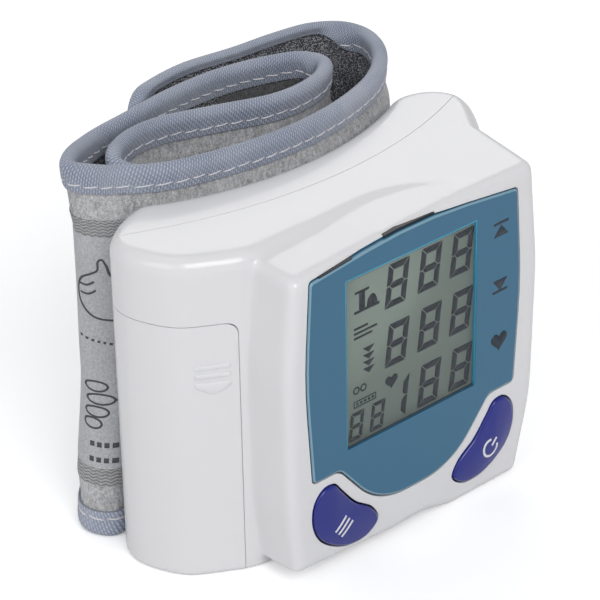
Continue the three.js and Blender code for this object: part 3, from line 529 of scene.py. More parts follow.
class Graph(Nodes):
    """A short way to write one material's nodes."""

    def __init__(self, name: str) -> None:
        """Start a material with only its output and its surface shader.

        Args:
            name: The material's name.
        """
        self.material = bpy.data.materials.new(name)
        self.material.use_nodes = True
        super().__init__(self.material.node_tree)
        self.output = self.node("OutputMaterial")
        self.surface = self.node("BsdfPrincipled")
        self.tree.links.new(self.surface.outputs[0], self.output.inputs["Surface"])

    def set(self, **values: object) -> None:
        """Set the surface shader's sockets, written with _ for each space."""
        for name, value in values.items():
            self.feed(self.surface.inputs[name.replace("_", " ")], value)

    def noise(
        self, scale: float, detail: float = 3, roughness: float = 0.55, stretch: Triple = (1, 1, 1)
    ) -> Socket:
        """Give a noise over the object's own coordinates, with its scale in cells per metre.

        Args:
            scale: Cells per metre.
            detail: How many finer layers it has.
            roughness: How strong the finer layers are.
            stretch: How dense it is along each axis.

        Returns:
            The noise.
        """
        place = self.node("TexCoord").outputs["Object"]
        if stretch != (1, 1, 1):
            place = self.node("Mapping", {"Vector": place, "Scale": stretch}).outputs[0]
        sockets = {"Vector": place, "Scale": scale, "Detail": detail, "Roughness": roughness}
        return self.node("TexNoise", sockets).outputs["Fac"]

    def ramp(
        self, value: object, low: float, high: float, start: float = 0.0, end: float = 1.0
    ) -> Socket:
        """Stretch a value from [low, high] to [start, end] and hold it there."""
        sockets = {"Value": value, "From Min": low, "From Max": high, "To Min": start, "To Max": end}
        return self.node("MapRange", sockets).outputs["Result"]

    def mix(self, share: object, first: object, second: object) -> Socket:
        """Mix two colours.

        Args:
            share: How much there is of the second.
            first: A colour.
            second: Another colour.

        Returns:
            The mixed colour.
        """
        made = self.node("Mix", {0: share}, data_type="RGBA")
        self.feed(made.inputs[6], first)
        self.feed(made.inputs[7], second)
        return made.outputs[2]

    def inverse(self, value: object) -> Socket:
        """Give one less a value."""
        return self.maths("SUBTRACT", 1.0, value)

    def wave(self, place: object, length: float) -> Socket:
        """Give a sine wave of one length over a place, in metres."""
        return self.maths("SINE", self.maths("MULTIPLY", place, math.tau / length))

    def flat_map(self) -> Socket:
        """Give the place on the cloth laid flat, in metres."""
        return self.node("UVMap", uv_map="Flat").outputs[0]

    def bump(
        self, height: object, strength: float, distance: float, under: object = None
    ) -> Socket:
        """Turn a height into a normal.

        Args:
            height: The height.
            strength: How strong it is.
            distance: How high one is, in metres.
            under: A normal that it adds to.

        Returns:
            The normal.
        """
        sockets = {"Height": height, "Strength": strength, "Distance": distance}
        if under is not None:
            sockets["Normal"] = under
        return self.node("Bump", sockets).outputs[0]


@dataclass(frozen=True)
class Finish:
    """What a piece is dressed in."""

    name: str

    def build(self) -> Material:
        """Build the finish's material.

        Returns:
            The material.
        """
        graph = Graph(self.name)
        self.paint(graph)
        return graph.material

    def paint(self, graph: Graph) -> None:
        """Lay the finish's own nodes."""
        raise NotImplementedError


@dataclass(frozen=True)
class Moulded(Finish):
    """Moulded plastic: even colour, faint flow marks, fine grain and a little wear."""

    colour: Rgb
    roughness: float = 0.3
    grain: float = 0.02
    grain_scale: float = 2600
    coat: float = 0.0
    shade: float = 0.97
    subsurface: float = 0.0
    rub: float = 0.12
    coat_roughness: float = 0.06
    scatter: Triple = (0.003, 0.003, 0.0035)
    scatter_scale: float = 0.3

    def paint(self, graph: Graph) -> None:
        """Lay the finish's own nodes.

        Args:
            graph: The material's nodes.
        """
        flow = graph.noise(38, detail=4, roughness=0.6, stretch=(1, 1, 0.45))
        dark = tuple(c * self.shade for c in self.colour)
        low, high = self.roughness * (1 - self.rub), self.roughness * (1 + self.rub)
        rub = graph.ramp(graph.noise(210, detail=5, roughness=0.7), 0.35, 0.75, low, high)
        graph.set(Base_Color=graph.mix(flow, dark, self.colour), Roughness=rub)
        graph.set(Normal=graph.bump(graph.noise(self.grain_scale, detail=2), self.grain, 0.0002))
        if self.coat:
            graph.set(Coat_Weight=self.coat, Coat_Roughness=self.coat_roughness)
        if self.subsurface:
            graph.set(Subsurface_Weight=self.subsurface, Subsurface_Radius=self.scatter)
            graph.set(Subsurface_Scale=self.scatter_scale)


@dataclass(frozen=True)
class BareMetal(Finish):
    """Metal with drawn lines and a few dull patches."""

    colour: Rgb
    roughness: float = 0.32

    def paint(self, graph: Graph) -> None:
        """Lay the finish's own nodes.

        Args:
            graph: The material's nodes.
        """
        drawn = graph.noise(900, detail=3, roughness=0.6, stretch=(1, 1, 0.06))
        dull = graph.noise(160, detail=4, roughness=0.65)
        dark = tuple(c * 0.78 for c in self.colour)
        graph.set(Base_Color=graph.mix(dull, self.colour, dark), Metallic=1.0)
        graph.set(Roughness=graph.ramp(dull, 0.3, 0.75, self.roughness * 0.8, self.roughness * 1.5))
        graph.set(Normal=graph.bump(drawn, 0.12, 0.0002))


@dataclass(frozen=True)
class ClearPane(Finish):
    """Clear glossy plastic in front of the display."""

    gloss: float = 0.04
    index: float = 1.33
    tint: Rgb = (0.93, 0.95, 0.95)

    def paint(self, graph: Graph) -> None:
        """Lay the finish's own nodes.

        Args:
            graph: The material's nodes.
        """
        clear = graph.node("BsdfTransparent", {"Color": self.tint})
        gloss = graph.node("BsdfGlossy", {"Color": (1.0, 1.0, 1.0), "Roughness": self.gloss})
        facing = graph.inverse(graph.node("NewGeometry").outputs["Backfacing"])
        share = graph.maths("MULTIPLY", graph.node("Fresnel", {"IOR": self.index}), facing)
        mixed = graph.node("MixShader", {0: share, 1: clear.outputs[0], 2: gloss.outputs[0]})
        graph.tree.nodes.remove(graph.surface)
        graph.tree.links.new(mixed.outputs[0], graph.output.inputs["Surface"])


@dataclass(frozen=True)
class Felt(Finish):
    """Brushed loop felt: a short nap of pale and dark hairs."""

    pale: Rgb
    dark: Rgb
    nap: float = 2600
    sheen: float = 0.35

    def paint(self, graph: Graph) -> None:
        """Lay the finish's own nodes.

        Args:
            graph: The material's nodes.
        """
        hairs = graph.noise(self.nap, detail=5, roughness=0.78)
        combed = graph.noise(self.nap * 0.55, detail=4, roughness=0.7, stretch=(1, 1, 0.45))
        cloud = graph.noise(120, detail=4, roughness=0.6)
        nap = graph.maths("ADD", graph.maths("MULTIPLY", hairs, 0.6), graph.maths("MULTIPLY", combed, 0.4))
        speckle = graph.ramp(nap, 0.38, 0.62)
        base = graph.mix(speckle, self.dark, self.pale)
        worn = graph.mix(graph.ramp(cloud, 0.45, 0.75, 0, 0.35), base, self.pale)
        graph.set(Base_Color=worn, Roughness=0.95, Sheen_Weight=self.sheen, Sheen_Roughness=0.6)
        graph.set(Specular_IOR_Level=0.15)
        rough = graph.bump(speckle, 0.7, 0.0004)
        graph.set(Normal=graph.bump(cloud, 0.4, 0.001, rough))


@dataclass(frozen=True)
class SparkleMesh(Finish):
    """Knitted mesh whose glints are painted: scattered threads are coloured pale where they would catch the
    light.
    """

    dark: Rgb
    glint_colour: Rgb
    cell: float = 0.00023

    def paint(self, graph: Graph) -> None:
        """Lay the finish's own nodes.

        Args:
            graph: The material's nodes.
        """
        sockets = {"Vector": graph.flat_map(), "Scale": 1 / self.cell}
        cells = graph.node("TexVoronoi", sockets, feature="F1", voronoi_dimensions="2D")
        threads = graph.inverse(graph.ramp(cells.outputs["Distance"], 0.28, 0.55))
        pick = graph.node("SeparateColor", {0: cells.outputs["Color"]}).outputs[0]
        glint = graph.ramp(pick, 0.56, 0.68)
        # Painted glints: the pale colour on scattered threads stands in for light they reflect
        graph.set(Base_Color=graph.mix(graph.maths("MULTIPLY", glint, threads), self.dark, self.glint_colour))
        graph.set(Roughness=graph.ramp(glint, 0, 1, 0.75, 0.35), Sheen_Weight=0.2)
        graph.set(Normal=graph.bump(threads, 0.9, 0.0003))


@dataclass(frozen=True)
class RibbedTape(Finish):
    """Woven binding tape: fine cross ribs broken up by pale picks."""

    colour: Rgb
    pale: Rgb
    dark: Rgb
    rib: float = 0.00048
    pick: float = 0.00085

    def paint(self, graph: Graph) -> None:
        """Lay the finish's own nodes.

        Args:
            graph: The material's nodes.
        """
        parts = graph.node("SeparateXYZ", {0: graph.flat_map()})
        along, across = parts.outputs[0], parts.outputs[1]
        slanted = graph.maths("ADD", along, graph.maths("MULTIPLY", across, 0.25))
        ribs = graph.wave(slanted, self.rib)
        row = graph.maths("FLOOR", graph.maths("DIVIDE", slanted, self.rib))
        shift = graph.maths("MULTIPLY", graph.maths("MODULO", row, 2.0), self.pick / 2)
        picks = graph.wave(graph.maths("ADD", across, shift), self.pick)
        crossing = graph.maths("MULTIPLY", graph.ramp(ribs, -1, 1), graph.ramp(picks, -1, 1))
        dots = graph.maths("MULTIPLY", graph.ramp(crossing, 0.35, 0.85), 0.6)
        shade = graph.mix(graph.ramp(ribs, -1, 0.3), self.dark, self.colour)
        soft = graph.mix(graph.ramp(graph.noise(90, detail=3), 0.3, 0.7, 0, 0.3), shade, self.pale)
        graph.set(Base_Color=graph.mix(dots, soft, self.pale), Roughness=0.62, Sheen_Weight=0.25)
        graph.set(Specular_IOR_Level=0.35)
        height = graph.maths("ADD", graph.maths("MULTIPLY", ribs, 0.5), graph.maths("MULTIPLY", picks, 0.35))
        graph.set(Normal=graph.bump(height, 0.75, 0.00018))


@dataclass(frozen=True)
class ZigzagWeave(Finish):
    """Dark webbing with rows of zigzag stitches."""

    pale: Rgb
    dark: Rgb
    wave: float = 0.0013
    row: float = 0.0006

    def paint(self, graph: Graph) -> None:
        """Lay the finish's own nodes.

        Args:
            graph: The material's nodes.
        """
        parts = graph.node("SeparateXYZ", {0: graph.flat_map()})
        zig = graph.maths("PINGPONG", parts.outputs[0], self.wave / 2)
        line = graph.maths("ADD", parts.outputs[1], graph.maths("MULTIPLY", zig, 0.55))
        fuzz = graph.ramp(graph.noise(2600, detail=4, roughness=0.75), 0.3, 0.7, -0.8, 0.8)
        bands = graph.ramp(graph.maths("ADD", graph.wave(line, self.row), fuzz), -0.9, 0.9)
        graph.set(Base_Color=graph.mix(bands, self.dark, self.pale), Roughness=0.9, Sheen_Weight=0.2)
        graph.set(Normal=graph.bump(bands, 0.8, 0.0003))


@dataclass(frozen=True)
class PrintedFilm(Finish):
    """Smooth woven label with a soft shine, felt-like grain showing through."""

    colour: Rgb
    dark: Rgb

    def paint(self, graph: Graph) -> None:
        """Lay the finish's own nodes.

        Args:
            graph: The material's nodes.
        """
        grain = graph.noise(2300, detail=5, roughness=0.75)
        cloud = graph.noise(150, detail=3, roughness=0.6)
        base = graph.mix(graph.ramp(grain, 0.38, 0.66), self.dark, self.colour)
        worn = graph.mix(graph.ramp(cloud, 0.4, 0.8, 0, 0.25), base, self.colour)
        graph.set(Base_Color=worn, Roughness=0.55)
        graph.set(Normal=graph.bump(grain, 0.3, 0.0003), Sheen_Weight=0.15)


@dataclass(frozen=True)
class LiquidFilm(Finish):
    """The grey-green face of a liquid crystal display, with a fine dust of specks."""

    colour: Rgb
    edge: Rgb
    speck: Rgb = (0.8, 0.85, 0.8)

    def paint(self, graph: Graph) -> None:
        """Lay the finish's own nodes.

        Args:
            graph: The material's nodes.
        """
        slow = graph.noise(45, detail=2, roughness=0.5)
        specks = graph.ramp(graph.noise(3200, detail=2, roughness=0.9), 0.74, 0.8)
        dust = graph.maths("MULTIPLY", specks, 0.25)
        tint = graph.mix(slow, self.edge, self.colour)
        graph.set(Base_Color=graph.mix(dust, tint, self.speck), Roughness=0.4)
        graph.set(Normal=graph.bump(graph.noise(4200, detail=2), 0.04, 0.0001))


@dataclass(frozen=True)
class PrintedInk(Finish):
    """Ink or a liquid crystal segment: flat colour with a slight mottle."""

    colour: Rgb
    roughness: float = 0.45

    def paint(self, graph: Graph) -> None:
        """Lay the finish's own nodes.

        Args:
            graph: The material's nodes.
        """
        mottle = graph.noise(1400, detail=3, roughness=0.6)
        pale = tuple(min(1.0, c * 1.12 + 0.004) for c in self.colour)
        graph.set(Base_Color=graph.mix(mottle, self.colour, pale), Roughness=self.roughness)
        graph.set(Normal=graph.bump(mottle, 0.06, 0.0001))


@dataclass(frozen=True)
class Laminate(Finish):
    """Green circuit board with copper tracks under the mask."""

    colour: Rgb
    track: Rgb

    def paint(self, graph: Graph) -> None:
        """Lay the finish's own nodes.

        Args:
            graph: The material's nodes.
        """
        place = graph.node("TexCoord").outputs["Object"]
        turned = graph.node("Mapping", {"Vector": place, "Rotation": (math.pi / 2, 0.0, 0.0)}).outputs[0]
        sockets = {"Vector": turned, "Scale": 260.0, "Mortar Size": 0.045, "Mortar Smooth": 0.2}
        tracks = graph.node("TexBrick", sockets).outputs["Fac"]
        graph.set(Base_Color=graph.mix(tracks, self.colour, self.track), Roughness=0.4)
        graph.set(Normal=graph.bump(tracks, 0.3, 0.0003))


@dataclass(frozen=True)
class WrappedCell(Finish):
    """A battery cell: a plain dark sleeve with bare metal at its ends."""

    sleeve: Rgb
    metal: Rgb
    bare: float
    low: float
    high: float

    def paint(self, graph: Graph) -> None:
        """Lay the finish's own nodes.

        Args:
            graph: The material's nodes.
        """
        height = graph.node("SeparateXYZ", {0: graph.node("TexCoord").outputs["Object"]}).outputs[2]
        under = graph.maths("LESS_THAN", height, (self.low + self.bare) * MM)
        above = graph.maths("GREATER_THAN", height, (self.high - self.bare) * MM)
        ends = graph.maths("ADD", under, above, clamp=True)
        scuff = graph.noise(300, detail=5, roughness=0.7)
        sleeve = graph.mix(scuff, self.sleeve, tuple(c * 1.3 for c in self.sleeve))
        graph.set(Base_Color=graph.mix(ends, sleeve, self.metal), Metallic=ends)
        graph.set(Roughness=graph.ramp(scuff, 0.3, 0.7, 0.25, 0.4))
        graph.set(Normal=graph.bump(scuff, 0.05, 0.0002))


class Palette:
    """Every finish of the monitor, built once and given out by name."""

    white = Moulded(
        "white_plastic", (0.775, 0.77, 0.782), 0.24, 0.012, 1800, coat=0.25, shade=0.985, subsurface=0.15
    )
    teal = Moulded("teal_panel", (0.034, 0.148, 0.255), 0.28, 0.0, 1500, coat=0.08, shade=0.97, rub=0.02)
    teal_edge = Moulded("teal_edge", (0.20, 0.36, 0.46), 0.22, 0.01, 1500, coat=0.4)
    # A lighter cyan that paints the light refracted at the display window's edge
    window_refraction = Moulded("window_refraction_paint", (0.05, 0.36, 0.55), 0.2, 0.01, 1500)
    blue = Moulded(
        "key_plastic", (0.010, 0.017, 0.235), 0.2, 0.004, 1500, coat=0.25, shade=0.9, rub=0.05
    )
    grey = Moulded("grey_plastic", (0.27, 0.28, 0.29), 0.5, 0.08)
    dark = Moulded("dark_plastic", (0.022, 0.023, 0.027), 0.45, 0.08)
    silicone = Moulded("clear_silicone", (0.55, 0.55, 0.52), 0.45, 0.03, subsurface=0.4)
    pane = ClearPane("window_pane")
    film = LiquidFilm("display_film", (0.31, 0.345, 0.30), (0.285, 0.318, 0.275))
    segment = PrintedInk("display_segment", (0.015, 0.018, 0.03))
    mark = PrintedInk("panel_ink", (0.018, 0.030, 0.045))
    white_ink = PrintedInk("key_ink", (0.75, 0.75, 0.78), 0.35)
    label_ink = PrintedInk("label_ink", (0.07, 0.07, 0.075), 0.7)
    laminate = Laminate("board_laminate", (0.01, 0.11, 0.045), (0.05, 0.24, 0.10))
    steel = BareMetal("plated_steel", (0.52, 0.53, 0.55))
    brass = BareMetal("contact_brass", (0.60, 0.45, 0.18), 0.28)
    felt = Felt("brushed_felt", (0.90, 0.90, 0.915), (0.23, 0.23, 0.24))
    hook = Felt("hook_tape", (0.20, 0.20, 0.205), (0.055, 0.055, 0.06), 3400, 0.1)
    # The mesh's second colour paints its glints
    sparkle = SparkleMesh("knit_mesh", (0.07, 0.073, 0.086), (0.85, 0.85, 0.90))
    tape = RibbedTape("binding_tape", (0.29, 0.33, 0.43), (0.66, 0.69, 0.76), (0.18, 0.21, 0.30))
    zigzag = ZigzagWeave("zigzag_band", (0.50, 0.50, 0.505), (0.23, 0.23, 0.235))
    label = PrintedFilm("label_film", (0.56, 0.565, 0.58), (0.36, 0.365, 0.38))
    thread = PrintedInk("stitch_thread", (0.66, 0.64, 0.66), 0.7)

    def __init__(self) -> None:
        """Start with nothing built."""
        self.built: dict[str, Material] = {}

    def __getitem__(self, finish: Finish) -> Material:
        """Give a finish's material, built when it is first asked for.

        Args:
            finish: One of the palette's finishes.

        Returns:
            Its material.
        """
        if finish.name not in self.built:
            self.built[finish.name] = finish.build()
        return self.built[finish.name]


PALETTE = Palette()


# Pieces


class Body(Enum):
    """The bodies that pieces ride on."""

    MONITOR = "monitor"
    COVER = "cover"
    MEMORY_KEY = "memory_key"
    POWER_KEY = "power_key"


def piece(
    name: str,
    mesh: Mesh,
    finish: Finish,
    body: Body = Body.MONITOR,
    replaces: Sequence[str] = (),
) -> Object:
    """Put a finished piece into the scene on its body.

    Args:
        name: The piece's name.
        mesh: Its mesh, in the frame's metres.
        finish: The finish it is dressed in.
        body: What it rides on.
        replaces: The CAD nodes that it stands for.

    Returns:
        The new object.
    """
    mesh.name = name
    made = new_object(name, mesh)
    mesh.materials.clear()
    mesh.materials.append(PALETTE[finish])
    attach(made, body.value)
    if replaces:
        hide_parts(*replaces)
    LOG.info("%s: %d faces on %s", name, len(mesh.polygons), body.value)
    return made


def level(made: Object) -> None:
    """Let the large flat faces of a piece rule its shading.

    Args:
        made: The piece.
    """
    weighted = made.modifiers.new("level", "WEIGHTED_NORMAL")
    weighted.weight = 100
    weighted.keep_sharp = True


def dress(frame: dict, finish: Finish, *nodes: str) -> None:
    """Give CAD nodes that stay as they are a better finish and smooth shading.

    Args:
        finish: What they are dressed in.
        nodes: Their names.
    """
    for name in nodes:
        node = frame["nodes"][name]
        node.data.materials.clear()
        node.data.materials.append(PALETTE[finish])
        smooth = node.modifiers.new("edges", "BEVEL")
        smooth.width = SOFT_EDGE * MM
        smooth.segments = 2
        smooth.limit_method = "ANGLE"
        smooth.angle_limit = math.radians(SOFT_ANGLE)
        smooth.harden_normals = True
        LOG.info("%s: dressed in %s", name, finish.name)


# Housing


@dataclass
class Housing:
    """The moulded body: both housings and the cover that slides down off the left wing."""

    height: float = 65.0
    left_reach: float = 44.6
    right_reach: float = 41.6
    depth: float = 38.1
    back_depth: float = 30.5
    wrist_radius: float = 67.0
    hollow_shares: Pair = (0.594, 0.637)
    wall: float = 1.8
    top_edge: float = 2.8
    bottom_edge: float = 0.8
    parting_depth: float = 21.4
    parting_radius: float = 95.0
    half_width: float = 30.5
    proud: float = 10.2
    block_depth: float = 20.0
    face_wall: float = 3.2
    face_edge: float = 2.0
    side_flare: float = 4.4
    left_rise: float = 0.9
    seat: float = 0.3
    seam: float = 0.14
    left_wing: tuple[Pair, ...] = (
        (-0.49, 0.262), (-0.655, 0.268), (-0.798, 0.349), (-0.917, 0.446), (-0.980, 0.585),
        (-1, 0.714), (-0.969, 0.829), (-0.888, 0.916), (-0.789, 0.976), (-0.700, 1),
    )
    right_wing: tuple[Pair, ...] = (
        (0.764, 1), (0.887, 0.974), (0.959, 0.911), (1, 0.819),
        (0.983, 0.719), (0.928, 0.612), (0.834, 0.470),
    )
    sweep_corners: tuple[Pair, ...] = ((0.86, 0.9), (0.84, 0.3))
    sweep: tuple[Pair, ...] = (
        (0.447, 0.275), (0.348, 0.451), (0.245, 0.706), (0.083, 0.931),
        (-0.132, 1), (-0.397, 0.97), (-0.6, 0.985),
    )
    block_corners: tuple[Triple, ...] = (
        (-0.957, 0.045, 0.015), (-1.003, 0.246, 0.92), (-1.010, 0.677, 0.92), (-0.951, 0.963, 0.034),
        (-0.262, 0.984, 0.92), (0.426, 1, 0.185), (0.984, 1, 0.034), (1.049, 0.677, 0.92),
        (1.023, 0.246, 0.62), (0.892, 0, 0.018), (0.311, 0, 0.062), (0.098, 0.026, 0.062),
        (-0.197, 0.023, 0.46),
    )
    screw_radius: float = 1.1
    screw_head: float = 2.3
    boss_radius: float = 2.6
    screw_places: tuple[Pair, ...] = ((-24.5, 59), (29.5, 58.6), (-5.8, 5.4), (29, 6))
    voxel: float = 0.4
    soften: int = 14
    hollow_steps: int = 41
    left_steps: int = 104
    right_steps: int = 72
    sweep_steps: int = 48
    front_steps: int = 46
    slope_reach: float = 0.8
    plan_points: list[Pair] = field(init=False, default_factory=list)

    def __post_init__(self) -> None:
        """Walk the plan outline once."""
        left, right = self.hollow_shares
        across = np.linspace(-self.left_reach * left, self.right_reach * right, self.hollow_steps)
        hollow = [(x, self.wrist_line(x)) for x in across]
        left_wing = [(x * self.left_reach, y * self.depth) for x, y in self.left_wing]
        right_wing = [(x * self.right_reach, y * self.depth) for x, y in self.right_wing]
        left_end = curve_through([*left_wing, hollow[0]], self.left_steps)
        right_end = curve_through([hollow[-1], *right_wing], self.right_steps)
        self.plan_points = [*left_end, *hollow[1:-1], *right_end, *self.on_block(self.sweep_corners)]
        self.plan_points += curve_through(self.on_block(self.sweep), self.sweep_steps)

    def on_block(self, shares: Iterable[Pair]) -> list[Pair]:
        """Turn shares of the block's half width and of how far it stands out into a place in plan."""
        return [(x * self.half_width, y * self.proud) for x, y in shares]

    def wrist_line(self, x: float) -> float:
        """Give the depth of the hollow that meets the wrist."""
        return self.back_depth + self.wrist_radius - math.sqrt(self.wrist_radius**2 - x**2)

    def parting_line(self, x: float) -> float:
        """Give the depth of the line where the two housings meet."""
        return self.parting_depth + self.parting_radius - math.sqrt(self.parting_radius**2 - x**2)

    def plan(self, distance: float) -> list[Pair]:
        """Give the plan outline, moved inwards."""
        return inset(self.plan_points, distance)

    def face_corners(self) -> list[Triple]:
        """List the block's corners with their radii."""
        return [(x * self.half_width, z * self.height, r * self.height) for x, z, r in self.block_corners]

    def flared(self, x: float, z: float, depth: float) -> Triple:
        """Place a point of the block: its right side flares and its left shoulder rises towards the wings.

        Args:
            x: Its place across.
            z: Its height.
            depth: Its depth.

        Returns:
            The point in the frame, in metres.
        """
        share = depth / self.block_depth
        flare = self.side_flare * share * x / self.half_width if x > 0 else 0
        rise = self.left_rise * share * (-x / self.half_width) * (2 * z / self.height - 1) if x < 0 else 0
        return to_frame(x + flare, depth, z + rise)

    def form(self, depth_in: float, face_in: float) -> list[Mesh]:
        """Make the body and the block as two closed meshes, moved inwards.

        Args:
            depth_in: How far the body moves in.
            face_in: How far the block's face does.

        Returns:
            The body and the block.
        """
        low, top, front = (0, 0, 0) if depth_in else (self.bottom_edge, self.top_edge, self.face_edge)
        body = prism(lambda d: self.plan(d + depth_in), depth_in, self.height - depth_in, low, top)
        outline = cornered(self.face_corners())
        face = prism(lambda d: outline(d + depth_in), face_in, self.block_depth, front, 0, self.flared)
        return [body, face]

    def softened(self) -> Mesh:
        """Melt body and block into one moulded form with small fillets.

        Returns:
            The filled form.
        """
        holder = new_object("form", merge("form", self.form(0, 0)))
        remesh = holder.modifiers.new("remesh", "REMESH")
        remesh.mode = "VOXEL"
        remesh.voxel_size = self.voxel * MM * 1
        smooth = holder.modifiers.new("smooth", "SMOOTH")
        smooth.factor = 0.5
        smooth.iterations = self.soften
        mesh = applied(holder)
        bpy.data.objects.remove(holder)
        return mesh

    def parting_side(self, back: bool, gap: float) -> Mesh:
        """Make everything on one side of the parting line, moved by a gap.

        Args:
            back: Whether it is the side behind the line.
            gap: How far back the line moves.

        Returns:
            The closed mesh.
        """
        reach = self.left_reach + OVERRUN
        line = [(x, self.parting_line(x) + gap) for x in np.linspace(-reach, reach, 61)]
        far = self.depth + OVERRUN if back else -OVERRUN
        return prism(fixed([*line, (reach, far), (-reach, far)]), -OVERRUN, self.height + OVERRUN)

    def wall_layer(self, outside: float, inside: float, low: float, high: float) -> Mesh:
        """Make a layer of the wall between two distances from the outside."""
        layer = prism(lambda d: self.plan(d + outside), low, high)
        return cut(layer, prism(lambda d: self.plan(d + inside), low - OVERRUN, high + OVERRUN))

    def screw_rods(self, radius: float, start: Depth, end: Depth) -> list[Mesh]:
        """Make rods on the axes of the screws, from one depth to another that depend on the place."""
        return [rod(radius, start(x), end(x), (x, z)) for x, z in self.screw_places]

    def wall_point(self, x: float) -> tuple[Vector, Vector]:
        """Find the left wing's front wall at a place across, and its outward direction in plan.

        Args:
            x: The place across.

        Returns:
            The point and the direction.
        """
        front = np.array(self.plan_points[:self.front_steps])[::-1]
        reach = self.slope_reach
        before, here, after = np.interp([x - reach, x, x + reach], front[:, 0], front[:, 1])
        return Vector((x, here)), Vector(((after - before) / (2 * reach), -1)).normalized()


@dataclass
class BatteryCover:
    """The cover of the battery bay, with its tongues and its raised slide mark."""

    housing: Housing
    height: float = 52.0
    seam_x: float = -32.0
    gap: float = 0.14
    corner: float = 2.5
    rebate: float = 0.95
    tongue: float = 0.8
    tongue_reach: float = 1.5
    tongue_low: float = 0.8
    tongue_high: float = 50.0
    wing_end: float = 5.4
    mark_low: float = 39.9
    mark_x: float = -36.1
    mark_width: float = 5.6
    mark_bar: float = 0.85
    mark_pitch: float = 1.73
    mark_point: float = 1.9
    mark_height: float = 0.3
    mark_round: float = 0.3
    mark_soft: float = 0.24
    mark_foot: float = 0.4
    mark_blunt: float = 0.17
    mark_bars: int = 3
    mark_steps: int = 41

    def region(self, grow: float) -> Mesh:
        """Make the space of the cover, grown by a gap.

        Args:
            grow: The gap.

        Returns:
            The closed mesh.
        """
        far = -self.housing.left_reach - OVERRUN
        seam, top = self.seam_x + grow, self.height + grow
        left, low, right, high = rectangle(far, -OVERRUN, seam, top, LEAST_RADIUS)
        outline = rounded_outline([left, low, (*right[:2], self.corner), high])
        space = plate(outline, -OVERRUN, self.housing.depth + OVERRUN)
        return meet(space, self.housing.parting_side(False, 0))

    def edges(self, reach: float) -> Mesh:
        """Make the space along the seam and along the parting line, where the tongues lie.

        Args:
            reach: How far it lies to either side.

        Returns:
            The closed mesh.
        """
        body = self.housing
        end = body.parting_depth - self.tongue_reach
        seam_side = block(self.seam_x - reach, 0, -OVERRUN, self.seam_x + reach, end, body.height)
        left = -body.left_reach
        wing = block(left, 0, -OVERRUN, left + self.wing_end, body.depth, body.height)
        return join(seam_side, meet(body.parting_side(True, -reach), body.parting_side(False, reach), wing))

    def tongues(self) -> Mesh:
        """Make the thin tongues that slide behind the housings' edges.

        Returns:
            The closed mesh.
        """
        outside = self.rebate + self.housing.seat
        layer = self.housing.wall_layer(outside, outside + self.tongue, self.tongue_low, self.tongue_high)
        return meet(layer, self.edges(self.tongue_reach))

    def tongue_path(self) -> Mesh:
        """Make the room that the tongues need.

        Returns:
            The closed mesh.
        """
        seat = self.housing.seat
        inside = self.rebate + self.tongue + seat * 2
        layer = self.housing.wall_layer(self.rebate, inside, -OVERRUN, self.tongue_high + seat)
        return meet(layer, self.edges(self.tongue_reach + seat))

    def mark_columns(self, bar_number: int) -> list[tuple[float, ...]]:
        """Give one bar of the slide mark as columns [x, low, high, share of its rise].

        Args:
            bar_number: Which bar, counted from the lowest, which has a point.

        Returns:
            The columns from left to right.
        """
        half, low, radius = self.mark_width / 2, self.mark_pitch * bar_number, self.mark_round
        columns = []
        for share in np.sin(np.linspace(-math.pi / 2, math.pi / 2, self.mark_steps)):
            edge = half * (1 - abs(share))
            shrink = radius - math.sqrt(max(radius**2 - max(radius - edge, 0) ** 2, 0))
            drop = self.mark_point * (1 - math.hypot(share, self.mark_blunt))
            point = 0 if bar_number else max(drop, 0)
            rise = min(1, self.mark_foot + (1 - self.mark_foot) * edge / self.mark_soft)
            columns.append((half * share, low + shrink - point, low + self.mark_bar - shrink, rise))
        return columns

    def mark_section(self, low: float, high: float, share: float) -> list[Pair]:
        """Give the soft-edged section [height, share of its rise] of one column.

        Args:
            low: Where it starts.
            high: Where it ends.
            share: How high its top is.

        Returns:
            Its points.
        """
        soft = min(self.mark_soft, (high - low) * 0.4)
        side = [(0.0, -0.5), (0.0, 0.4 * share), (soft / 3, 0.8 * share), (soft, share)]
        section = [(low + drop, rise) for drop, rise in side]
        return section + [(high - drop, rise) for drop, rise in side[::-1]]

    def mark(self) -> list[Mesh]:
        """Lay the raised mark on the curved wall: two bars over an arrow that points down.

        Returns:
            A closed mesh for each bar.
        """
        made = []
        for bar_number in range(self.mark_bars):
            rings = []
            for x, low, high, share in self.mark_columns(bar_number):
                foot, outward = self.housing.wall_point(self.mark_x + x)
                ring = []
                for z, rise in self.mark_section(low, high, share):
                    place = foot + outward * rise * self.mark_height
                    ring.append(to_frame(place.x, place.y, self.mark_low + z))
                rings.append(ring)
            made.append(skin("mark", rings))
        return made


